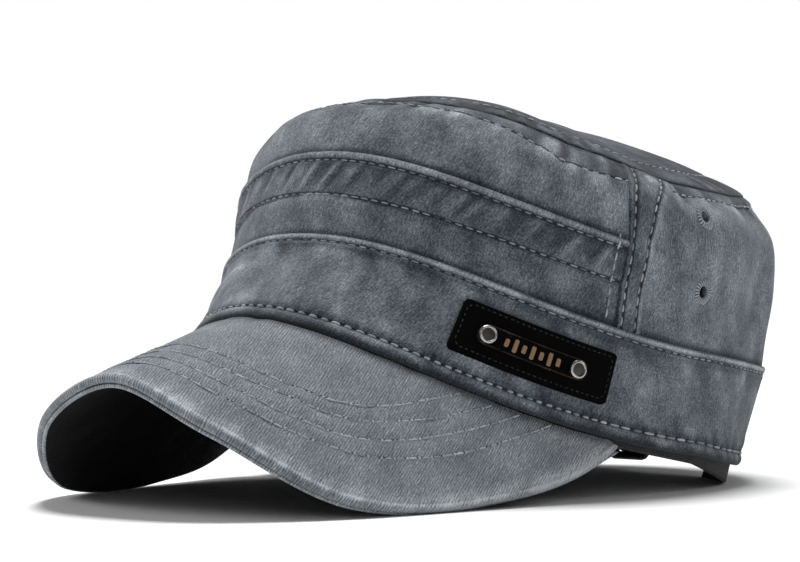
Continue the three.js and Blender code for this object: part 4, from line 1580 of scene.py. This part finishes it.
@dataclass
class BackClosure:
    """The bound opening at the back, its strap and its slide buckle."""

    finishes: Finishes
    cloth: CrownCloth
    binding_steps: int = 20
    mm_per_degree: float = 1.37
    strap_thickness: float = 1.2
    strap_low: float = 0.66
    strap_high: float = 19.7
    # The straps' routes: millimetres to the wearer's left of the middle, and out of the cloth.
    left_path: Table = (
        (44.9, -2.75), (36, -2.75), (24, -2.95), (14, -3.2), (6.2, -3.3), (1.6, 0.3),
        (-1.5, 0.3), (-4.6, -5.05), (-15, -5.05), (-27, -5.05),
    )
    right_path: Table = (
        (-44.9, -2.75), (-36, -2.75), (-28, -3.2), (-20, -3.53), (-7.5, -3.53), (-6.06, -2.94), (-5.47, -1.5),
        (-6.06, -0.06), (-7.5, 0.53), (-9.6, 0.2), (-13, -2.0), (-20, -2.0),
    )

    def build(self) -> None:
        """Makes the binding and the straps."""
        self.build_binding()
        self.build_strap("left", self.left_path)
        self.build_strap("right", self.right_path)
        self.build_buckle()

    def edge(self, turn: Array, inset: Array) -> tuple[Array, Array]:
        """Angle and height of the opening's edge, moved inward by an inset.

        Args:
            turn: From 0 to pi, from the wearer's left to right.
            inset: Millimetres into the opening.

        Returns:
            Angles round the head, and millimetres along the cloth.
        """
        reach = self.cloth.opening_half_angle - inset / self.mm_per_degree
        rise = self.cloth.opening_height - inset / BAND_HEIGHT
        height = height_of(rise * np.sin(turn) ** self.cloth.opening_roundness)
        return 180 - reach * np.cos(turn), np.maximum(height, 0.7)

    def build_binding(self) -> None:
        """The tape folded over the opening's edge."""
        round_it = np.linspace(0, 2 * math.pi, self.binding_steps + 1)
        loop = np.stack([1.25 + 1.15 * np.cos(round_it), -0.45 + 1.5 * np.sin(round_it)], -1)

        def lay(along: Array, step: Array) -> Laid:
            """Lays the binding.

            Args:
                along: From 0 to 1 along the piece.
                step: Steps round its section.

            Returns:
                The laid points.
            """
            section = loop[step % self.binding_steps]
            turn = 0.02 + along * (math.pi - 0.04)
            degrees, height = self.edge(turn, section[:, 0])
            rough = ring_noise(degrees * 6, height * 2, 180, 5, 33) * 0.12
            points = CROWN.on(degrees, height, section[:, 1] + rough)
            uv = np.stack([along * 120, section[:, 1]], -1)
            # The binding's outer face is painted light and its underside dark, as painted light and shade.
            wear_and_shade = 0.5 * (section[:, 1] > 0.6) - 0.3 * (section[:, 1] < 0)
            return Laid(points, uv, wear_and_shade)

        piece = lay_cloth("binding_cloth", 170, self.binding_steps, lay)
        put(dress(piece, self.finishes.washed), Slot.WASHED, "opening_binding")

    def build_strap(self, side: str, path: Sequence[Sequence[float]]) -> None:
        """One half of the strap, threaded along its path.

        Args:
            side: left or right, as the wearer has it.
            path: The route of its middle.
        """
        middle = smooth_path(path, 90)
        ahead = unit(np.gradient(middle, axis=0))
        out = np.stack([-ahead[:, 1], ahead[:, 0]], -1) * self.strap_thickness / 2
        loop = np.vstack([middle + out, (middle - out)[::-1], middle[:1] + out[:1]])

        def lay(along: Array, step: Array) -> Laid:
            """Lays the strap.

            Args:
                along: From 0 to 1 along the piece.
                step: Steps round its section.

            Returns:
                The laid points.
            """
            height = self.strap_low + along * (self.strap_high - self.strap_low)
            across, depth = loop[step, 0], loop[step, 1]
            points = CROWN.on(180 - across / self.mm_per_degree, height, depth)
            return Laid(points, np.stack([across, height], -1), 0.0)

        piece = lay_cloth("strap_tape_" + side, 26, len(loop) - 1, lay)
        put(dress(piece, self.finishes.webbing), Slot.WEBBING, "strap_" + side)

    def build_buckle(self) -> None:
        """The slide buckle, its edges rounded."""
        piece = bpy.data.objects.new("buckle_slide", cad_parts["buckle"].data.copy())
        piece.data.name = piece.name
        bpy.context.collection.objects.link(piece)
        select_only(piece)
        bpy.ops.object.mode_set(mode="EDIT")
        bpy.ops.mesh.select_all(action="SELECT")
        bpy.ops.mesh.remove_doubles(threshold=1e-5)
        bpy.ops.mesh.dissolve_limited(angle_limit=math.radians(3))
        bpy.ops.object.mode_set(mode="OBJECT")
        soften_edges(piece, 0.0003)
        put(dress(piece, self.finishes.dark_metal), Slot.DARK, "buckle")


@dataclass(frozen=True)
class Stitch:
    """Sizes of one kind of stitch, in millimetres."""

    pitch: float
    length: float
    width: float
    height: float
    lift: float = 0.12
    tint: float = 0.5
    knot: float = 0.0


class Needle:
    """Sews rows of stitches and gathers them into one piece."""

    def __init__(self, name: str, seed: int) -> None:
        """Starts a piece with no stitches.

        Args:
            name: The piece's name.
            seed: Which unevenness its stitches have.
        """
        self.name = name
        self.random = np.random.default_rng(seed)
        self.points: list[Array] = []
        self.tints: list[Array] = []
        self.shape, self.faces = self.model_stitch()

    @staticmethod
    def model_stitch() -> tuple[Array, Array]:
        """Models one stitch: a plump thread whose ends dip into the cloth.

        Returns:
            The stitch's points, at half its size, and its faces.
        """
        bpy.ops.object.select_all(action="DESELECT")
        bpy.ops.mesh.primitive_uv_sphere_add(segments=8, ring_count=6, radius=1)
        ball = bpy.context.object
        bpy.ops.object.mode_set(mode="EDIT")
        bpy.ops.mesh.quads_convert_to_tris()
        bpy.ops.object.mode_set(mode="OBJECT")
        points = np.array([v.co for v in ball.data.vertices])[:, [2, 0, 1]]
        faces = np.array([p.vertices for p in ball.data.polygons])
        points[:, 0] = np.sign(points[:, 0]) * np.abs(points[:, 0]) ** 0.8
        points[:, 2] -= 0.8 * points[:, 0] ** 4
        bpy.data.objects.remove(ball)
        return points, faces

    def add(self, centres: Array, along: Array, up: Array, size: Sequence[float], tint: Array) -> None:
        """Places one stitch at each centre.

        Args:
            centres: Middles of the stitches.
            along: The way that each runs.
            up: The way out of the cloth.
            size: Length, width and height.
            tint: Darkness to lightness, from 0 to 1, of each.
        """
        along = unit(along)
        side = unit(np.cross(up, along))
        up = np.cross(along, side)
        uneven = 1 + self.random.uniform(-0.12, 0.12, (len(centres), 3))
        half = np.array(size) / 2 * uneven
        placed = sum(
            self.shape[None, :, axis, None] * half[:, None, axis, None] * vectors[:, None]
            for axis, vectors in enumerate((along, side, up))
        )
        self.points.append((placed + centres[:, None]).reshape(-1, 3))
        self.tints.append(np.repeat(tint, len(self.shape)))

    def sew(self, path: Path, start: float, end: float, stitch: Stitch) -> None:
        """Sews a row along a path.

        Args:
            path: Points and normals of the cloth along the row.
            start: Where the row begins.
            end: Where it ends.
            stitch: The stitches' sizes.
        """
        points, normals = path(np.linspace(start, end, 900))
        lengths = run_along(points)
        count = max(1, int(round(lengths[-1] / stitch.pitch)))
        step = lengths[-1] / count
        middles = (np.arange(count) + 0.5) * step + self.random.uniform(-0.06, 0.06, count) * step

        def at(where: Array, rows: Array) -> Array:
            """Reads the path's rows at some lengths."""
            return read_along(where, lengths, rows)

        centre, up = at(middles, points), unit(at(middles, normals))
        along = at(middles + 0.4 * step, points) - at(middles - 0.4 * step, points)
        tint = np.clip(stitch.tint + self.random.normal(0, 0.16, count), 0, 1)
        self.add(centre + up * stitch.lift, along, up, (stitch.length, stitch.width, stitch.height), tint)
        if stitch.knot:
            knots = np.arange(1, count) * step
            centre, up = at(knots, points), unit(at(knots, normals))
            size = (stitch.knot, stitch.knot, stitch.knot * 0.8)
            # The knots are tinted lighter than their stitches, as a painted highlight.
            bright = np.clip(0.75 + self.random.normal(0, 0.2, count - 1), 0, 1)
            self.add(centre + up * stitch.lift, at(knots + 0.5, points) - centre, up, size, bright)

    def finish(self, material: bpy.types.Material, slot: Slot) -> None:
        """Makes the piece of all the stitches sewn.

        Args:
            material: The thread.
            slot: The record's finish.
        """
        count = sum(len(t) for t in self.tints) // len(self.shape)
        faces = (self.faces[None] + (np.arange(count) * len(self.shape))[:, None, None]).reshape(-1, 3)
        points = (np.vstack(self.points) + HEAD_SHIFT) / 1000
        mesh = bpy.data.meshes.new(self.name)
        mesh.from_pydata(points.tolist(), [], faces.tolist())
        mesh.update()
        piece = bpy.data.objects.new(self.name, mesh)
        bpy.context.collection.objects.link(piece)
        carry(piece, "tint", np.concatenate(self.tints))
        select_only(piece)
        bpy.ops.object.shade_smooth()
        put(dress(piece, material), slot)


def crown_row(height: float | Callable[[Array], Array], offset: float, degrees: Array) -> tuple[Array, Array]:
    """Follows a row round the crown, at one height or at a height for each angle."""
    return crown_place(degrees, height(degrees) if callable(height) else height, offset)


@dataclass
class Stitching:
    """Every row of stitches in the cap's cloth."""

    finishes: Finishes
    cloth: CrownCloth
    visor: Visor
    hem: Stitch = Stitch(4.2, 3.1, 0.85, 0.9, 0.1, 0.66)
    fold: Stitch = Stitch(3.4, 2.5, 0.55, 0.5, 0.02, 0.42)
    seam: Stitch = Stitch(3.7, 2.6, 0.7, 0.6, 0.15, 0.72)
    side: Stitch = Stitch(3.7, 2.7, 0.65, 0.6, 0.08, 0.62)
    arc: Stitch = Stitch(4.4, 3.5, 0.7, 0.55, 0.08, 0.66, 0.95)

    def build(self) -> None:
        """Sews every row."""
        band = Needle("band_stitches", 1)
        for start, end, pitch in HEM_ROWS:
            stitch = replace(self.hem, pitch=pitch, length=pitch - 1.1)
            band.sew(partial(crown_row, HEM_HEIGHT, 0.1), start, end, stitch)
        band.sew(partial(crown_row, 31.35, 0.55), -156.5, 156.5, self.fold)
        band.finish(self.finishes.thread, Slot.WASHED)
        panels = Needle("panel_stitches", 2)
        panels.sew(partial(crown_row, seam_row, 0.0), -180, 180, self.seam)
        panels.sew(partial(crown_row, 48.4, 0.1), -66.8, 66.8, self.fold)
        panels.sew(partial(crown_row, 58.6, 0.45), -66.8, 66.8, self.fold)
        for sign in (1, -1):
            for rear in (0, 1):
                panels.sew(partial(self.side_row, sign, rear), 34.5, 91.0, self.side)
            panels.sew(partial(self.tack_row, sign), 35.5, 63.5, self.seam)
        panels.sew(self.top_row, 0, 360, self.seam)
        panels.finish(self.finishes.thread, Slot.WASHED)
        visor = Needle("visor_stitches", 3)
        for index in range(len(self.visor.rows)):
            stations = np.linspace(0, 1, 2001)
            end = stations[np.argmax(self.visor.row_across(index, stations) < 0.02)]
            visor.sew(partial(self.visor_row, index), -end, end, self.arc)
        visor.finish(self.finishes.thread, Slot.VISOR)

    def side_row(self, sign: int, rear: int, height: Array) -> tuple[Array, Array]:
        """Follows a row down a side seam, 0 the front one and 1 the rear one."""
        return crown_place(sign * self.cloth.strip_edges(height)[rear], height, 0.5)

    def tack_row(self, sign: int, height: Array) -> tuple[Array, Array]:
        """Follows the row that holds the end of the tuck."""
        over_tuck = smooth(height, 47, 49.5) * (1 - smooth(height, 60.5, 62)) + bump(height, 60.2, 1.2)
        return crown_place(sign * (65.6 + 0.3 * np.sin(height / 5)), height, 0.6 * over_tuck)

    def top_row(self, degrees: Array) -> tuple[Array, Array]:
        """Follows the row inside the top seam.

        Args:
            degrees: Angles round the head.

        Returns:
            Points and normals of the cloth.
        """
        inward = np.full_like(degrees, self.cloth.top_row / self.cloth.top_reach)
        base, above = (CROWN.on_top(degrees, inward, np.full_like(degrees, lift)) for lift in (-0.1, 0.9))
        return base, unit(above - base)

    def visor_row(self, index: int, station: Array) -> tuple[Array, Array]:
        """Follows a row across the visor.

        Args:
            index: Which row, from the rim.
            station: -1 and 1 at the visor's tips, 0 at its middle.

        Returns:
            Points and normals of the cloth.
        """
        across = self.visor.row_across(index, station)
        normals = VISOR.normal(station, np.clip(across, *INSIDE))
        return VISOR.on(station, across, np.zeros_like(station)), normals


@dataclass
class Badge:
    """The leather patch: its raised strip, edge stitches, rivets and row of small bars."""

    finishes: Finishes
    stack: float = 0.55
    patch: tuple[float, float, float, float] = (38.3, 68.75, 9.2, 25.7)
    flare: float = 0.4
    plate: tuple[float, float, float, float] = (42.4, 63.6, 13.8, 20.3)
    rivet_height: float = 16.9
    rivets: tuple[tuple[str, float], ...] = (("front", 44.2), ("rear", 61.4))
    rivet_radius: float = 2.8
    # The rivet's face from its rim to its middle: each step inward, and how far it rises.
    rivet_steps: Table = ((0.25, 0.25), (0.3, 0.08), (0.25, -0.1), (0.12, -0.35), (0.7, 0.1), (0.7, 0.06))
    cup_radius: float = 1.95
    bars: int = 7

    def build(self) -> None:
        """Makes the patch and what is on it."""
        leather = self.finishes.leather
        patch = self.lay_plate("patch_hide", self.patch, 1.8, self.stack, 1.5, 74, 40, 0.0, self.flare)
        put(dress(patch, leather), Slot.LEATHER, "patch")
        plate = self.lay_plate("patch_strip", self.plate, 3.2, self.stack + 1.4, 0.65, 70, 30)
        put(dress(plate, leather), Slot.LEATHER, "patch_plate")
        self.sew_edge()
        self.build_bars()
        for label, angle in self.rivets:
            self.build_rivet(label, angle)

    @staticmethod
    def lay_plate(
        name: str,
        place: Sequence[float],
        corner: float,
        base: float,
        thickness: float,
        columns: int,
        rows: int,
        edge_wear_and_shade: float = 1.0,
        flare: float = 0.0,
    ) -> bpy.types.Object:
        """Lays a thin plate with round corners on the band.

        Args:
            name: The piece's name.
            place: First and last angle, lowest and highest millimetre along the cloth.
            corner: Radius of its corners.
            base: Millimetres from the cloth to its back.
            thickness: Its own thickness.
            columns: Steps along it.
            rows: Steps up its face.
            edge_wear_and_shade: How rubbed its edge is.
            flare: Degrees it gains at each upper corner, where the band is narrower.

        Returns:
            The new piece.
        """
        start, end, low, high = place
        middle = (low + high) / 2
        first, last = CROWN.arc(np.array([start, end]), middle)
        angles = np.linspace(start - 2, end + 2, 200)
        arcs = CROWN.arc(angles, middle)
        steps = rows + 1 + rows // 2 + 1
        rim = 0.45

        def eased(share: Array, amount: float) -> Array:
            """Crowds steps from 0 to 1 towards both ends, by an amount up to 1."""
            return (1 - np.cos(np.pi * share)) / 2 * amount + share * (1 - amount)

        def lay(along: Array, step: Array) -> Laid:
            """Lays the plate.

            Args:
                along: From 0 to 1 along the piece.
                step: Steps round its section.

            Returns:
                The laid points.
            """
            run = first + (last - first) * eased(along, 0.5)
            side = np.minimum(run - first, last - run)
            trim = corner - np.sqrt(np.clip(corner**2 - np.clip(corner - side, 0, corner) ** 2, 0, None))
            bottom, top = low + trim, high - trim
            face = step <= rows
            back = np.clip(step - rows, 0, rows // 2 + 1)
            up = eased(np.clip(step / rows, 0, 1), 0.4)
            share = np.where(face, up, 1 - (back - 1) / (rows // 2))
            share = np.where(step == steps, 0.0, share)
            height = bottom + (top - bottom) * share
            near = np.minimum(side, np.minimum(height - bottom, top - height))
            round_off = np.sqrt(np.clip(1 - (1 - np.clip(near / rim, 0, 1)) ** 2, 0, 1))
            lift = base + thickness * (0.35 + 0.65 * round_off)
            lift = np.where(face | (step == steps), lift, base)
            sideways = 2 * (run - first) / (last - first) - 1
            degrees = np.interp(run, arcs, angles) + flare * sideways * (height - middle) / (high - middle)
            points = CROWN.on(degrees, height, lift)
            edge = np.where(face, bump(near, 0.25, 0.3) * edge_wear_and_shade, 0)
            return Laid(points, np.stack([run, height], -1), edge)

        return lay_cloth(name, columns, steps, lay)

    def sew_edge(self) -> None:
        """Sews the patch down, a little inside its edge."""
        start, end, low, high = self.patch
        inset, radius = 1.5, 1.4
        mm_per_degree = 1.62
        left, right = start + inset / mm_per_degree, end - inset / mm_per_degree
        bottom, top = low + inset, high - inset
        corner = radius / mm_per_degree
        corners = np.array([
            (left + corner, bottom),
            (right - corner, bottom),
            (right, bottom + radius),
            (right, top - radius),
            (right - corner, top),
            (left + corner, top),
            (left, top - radius),
            (left, bottom + radius),
            (left + corner, bottom),
        ])
        lengths = run_along(corners * [mm_per_degree, 1])

        def path(run: Array) -> tuple[Array, Array]:
            """Follows the patch's edge.

            Args:
                run: Millimetres along it.

            Returns:
                Points and normals of the cloth.
            """
            degrees, height = read_along(run, lengths, corners).T
            sideways = 2 * (degrees - start) / (end - start) - 1
            degrees = degrees + self.flare * sideways * (2 * height - low - high) / (high - low)
            return crown_place(degrees, height, self.stack + 1.5)

        needle = Needle("patch_stitches", 4)
        needle.sew(path, 0, lengths[-1], Stitch(1.9, 1.2, 0.4, 0.35, 0.0, 0.5))
        needle.finish(self.finishes.black_thread, Slot.LEATHER)

    def build_bars(self) -> None:
        """A plain row of small bars between the rivets."""
        for i, angle in enumerate(np.linspace(47.9, 57.7, self.bars)):
            tall = 2.1 if i % 2 else 1.3
            place = (angle - 0.42, angle + 0.42, self.rivet_height - tall, self.rivet_height + tall)
            bar = self.lay_plate(f"patch_bar_{i + 1}", place, 0.5, self.stack + 1.9, 0.3, 10, 12)
            carry(bar, "tint", 0.5)
            put(dress(bar, self.finishes.tan), Slot.LEATHER)

    def build_rivet(self, label: str, angle: float) -> None:
        """A cupped rivet, its rim bright and its cup dull.

        Args:
            label: front or rear.
            angle: Where it sits round the head.
        """
        bpy.ops.object.select_all(action="DESELECT")
        bpy.ops.mesh.primitive_cylinder_add(vertices=64, radius=self.rivet_radius, depth=1.0)
        piece = bpy.context.object
        piece.name = piece.data.name = "rivet_cap_" + label
        bpy.ops.object.mode_set(mode="EDIT")
        bpy.ops.mesh.select_all(action="DESELECT")
        bpy.ops.object.mode_set(mode="OBJECT")
        for face in piece.data.polygons:
            face.select = face.normal.z > 0.9
        bpy.ops.object.mode_set(mode="EDIT")
        bpy.ops.mesh.select_mode(type="FACE")
        for inward, rise in self.rivet_steps:
            bpy.ops.mesh.inset(thickness=inward, depth=rise)
        bpy.ops.object.mode_set(mode="OBJECT")
        soften_edges(piece, 0.12)
        dress(piece, self.finishes.bright, self.finishes.cup)
        for face in piece.data.polygons:
            reach = np.hypot(face.center.x, face.center.y)
            face.material_index = int(reach < self.cup_radius and face.normal.z > 0.3)
        seat_on_crown(piece, angle, self.rivet_height, self.stack + 2.5)
        put(piece, Slot.BRIGHT, "rivet_" + label)


@dataclass
class Vents:
    """The embroidered vents in the back panel."""

    finishes: Finishes
    places: tuple[tuple[str, float, float], ...] = (
        ("left_upper", 90, 74.5),
        ("left_lower", 88.8, 53.2),
        ("right_upper", -90, 74.5),
        ("right_lower", -88.8, 53.2),
    )
    lobes: int = 22
    ring_radius: float = 2.6
    ring_thickness: float = 0.75
    hole: float = 1.75

    def build(self) -> None:
        """Makes the rings and cuts their holes."""
        for label, angle, height in self.places:
            self.build_ring(label, angle, height)
        self.cut_holes()

    def build_ring(self, label: str, angle: float, height: float) -> None:
        """One ring of close stitches round its hole.

        Args:
            label: Which vent.
            angle: Where it sits round the head.
            height: Millimetres along the cloth from the rim.
        """
        bpy.ops.object.select_all(action="DESELECT")
        bpy.ops.mesh.primitive_torus_add(
            major_segments=132,
            minor_segments=14,
            major_radius=self.ring_radius,
            minor_radius=self.ring_thickness,
        )
        piece = bpy.context.object
        piece.name = piece.data.name = "vent_ring_" + label
        points = read_points(piece)
        turn = np.arctan2(points[:, 1], points[:, 0])
        lobe = np.abs(np.sin(turn * self.lobes / 2))
        seed = len(label) + int(angle)
        uneven = 1 + 0.12 * np.sin(3 * turn + seed) + 0.07 * np.sin(7 * turn + 2 * seed)
        reach = np.hypot(points[:, 0], points[:, 1])
        outer = smooth(reach, 2.4, 3.2)
        factor = 1 + outer * (0.2 * lobe * uneven + 0.06 * np.sin(5 * turn)) - (1 - outer) * 0.08 * (1 - lobe)
        points[:, :2] *= factor[:, None]
        points[:, 2] *= 0.6 + 0.35 * lobe
        move_points(piece, points)
        # The ring's raised lobes are tinted light as painted highlight, and the thread between them dark as
        # painted shade.
        carry(piece, "tint", 0.75 * lobe**2 + 0.1 * outer)
        bpy.ops.object.shade_smooth()
        seat_on_crown(piece, angle, height, 0.25)
        put(dress(piece, self.finishes.thread), Slot.WASHED, "eyelet_" + label)

    def cut_holes(self) -> None:
        """Cuts the vents through the back panel."""
        panel = bpy.data.objects["back_cloth"]
        select_only(panel)
        for _, angle, height in self.places:
            point, normal = crown_place(angle, height, 0)
            away = read_points(panel) * 1000 - HEAD_SHIFT - point
            depth = away @ normal
            aside = np.linalg.norm(away - depth[:, None] * normal, axis=1)
            bpy.ops.object.mode_set(mode="EDIT")
            bpy.ops.mesh.select_mode(type="VERT")
            bpy.ops.mesh.select_all(action="DESELECT")
            bpy.ops.object.mode_set(mode="OBJECT")
            panel.data.vertices.foreach_set("select", (aside < self.hole) & (np.abs(depth) < 5))
            bpy.ops.object.mode_set(mode="EDIT")
            bpy.ops.mesh.delete(type="VERT")
            bpy.ops.mesh.select_mode(type="EDGE")
            bpy.ops.mesh.select_all(action="DESELECT")
            bpy.ops.mesh.select_non_manifold(use_wire=False, use_multi_face=False, use_non_contiguous=False)
            bpy.ops.mesh.bridge_edge_loops()
            bpy.ops.object.mode_set(mode="OBJECT")


@dataclass
class Studio:
    """Camera, pale floor and soft light."""

    azimuth: float = 40.583
    elevation: float = 1.332
    distance: float = 1200.0
    aside: float = -28.19
    height: float = 64.015
    focal_pixels: float = 3762.0
    image_width: int = 800
    sensor: float = 36.0
    room: float = 0.12
    # Each panel of light: name, place in metres, side in metres, watts.
    panels: tuple[tuple[str, tuple[float, float, float], float, float], ...] = (
        ("key", (-1.3, -0.7, 0.9), 0.8, 10.0),
        ("fill", (1.2, -1.0, 0.5), 0.8, 3.2),
        ("rim", (0.9, 1.1, 0.8), 0.6, 3.5),
    )
    overhead: tuple[float, float, float] = (-0.25, 0.36, 1.6)
    overhead_spread: float = 22.0
    overhead_strength: float = 3.4

    def build(self) -> None:
        """Sets everything up."""
        self.place_camera()
        self.lay_floor()
        self.light()

    def place_camera(self) -> None:
        """A long lens at the photograph's height and side."""
        a, e = math.radians(self.azimuth), math.radians(self.elevation)
        right = Vector((math.cos(a), math.sin(a), 0))
        back = Vector((math.sin(a) * math.cos(e), -math.cos(a) * math.cos(e), math.sin(e)))
        target = right * self.aside + Vector((0, 0, self.height)) + Vector(HEAD_SHIFT)
        data = bpy.data.cameras.new("camera")
        data.sensor_width = self.sensor
        data.lens = self.focal_pixels / self.image_width * self.sensor
        data.clip_start = 0.05
        data.clip_end = 50
        camera = bpy.data.objects.new("camera", data)
        bpy.context.collection.objects.link(camera)
        camera.location = (target + back * self.distance) / 1000
        camera.rotation_euler = back.to_track_quat("Z", "Y").to_euler()
        bpy.context.scene.camera = camera

    def lay_floor(self) -> None:
        """A wide white floor."""
        bpy.ops.object.select_all(action="DESELECT")
        bpy.ops.mesh.primitive_plane_add(size=12)
        floor = bpy.context.object
        floor.name = "floor"
        white = {"Base Color": (0.94, 0.94, 0.94, 1), "Roughness": 0.6, "Specular IOR Level": 0.2}
        dress(floor, Graph("floor").finish(white))

    def light(self) -> None:
        """A pale room, three soft panels and a broad light overhead."""
        scene = bpy.context.scene
        scene.view_settings.view_transform = "Standard"
        world = bpy.data.worlds.new("studio")
        world.use_nodes = True
        scene.world = world
        tree = world.node_tree
        background = tree.nodes["Background"]
        background.inputs["Color"].default_value = (1, 1, 1, 1)
        seen = tree.nodes.new("ShaderNodeLightPath").outputs["Is Camera Ray"]
        strength = tree.nodes.new("ShaderNodeMapRange")
        strength.inputs["To Min"].default_value = self.room
        strength.inputs["To Max"].default_value = 1.0
        tree.links.new(seen, strength.inputs["Value"])
        tree.links.new(strength.outputs["Result"], background.inputs["Strength"])
        for name, place, side, watts in self.panels:
            panel = bpy.data.lights.new(name, "AREA")
            panel.size = side
            self.hang(panel, place, watts)
        overhead = bpy.data.lights.new("overhead", "SUN")
        overhead.angle = math.radians(self.overhead_spread)
        self.hang(overhead, self.overhead, self.overhead_strength)

    @staticmethod
    def hang(data: bpy.types.Light, place: Sequence[float], power: float) -> None:
        """Hangs a light so that it faces the cap.

        Args:
            data: The light.
            place: Where it hangs, in metres.
            power: Its strength.
        """
        data.energy = power
        lamp = bpy.data.objects.new(data.name, data)
        bpy.context.collection.objects.link(lamp)
        lamp.location = place
        lamp.rotation_euler = (Vector(place) - Vector((0, 0, 0.06))).to_track_quat("Z", "Y").to_euler()


def main() -> None:
    """Builds the cap and its studio."""
    logging.basicConfig(level=logging.INFO, format="%(name)s: %(message)s")
    Studio().build()
    finishes = Finishes.build()
    cloth = CrownCloth(finishes)
    cloth.build()
    visor = Visor(finishes)
    visor.build()
    Headband(finishes).build()
    BackClosure(finishes, cloth).build()
    Vents(finishes).build()
    Badge(finishes).build()
    Stitching(finishes, cloth, visor).build()


if __name__ == "__main__":
    main()
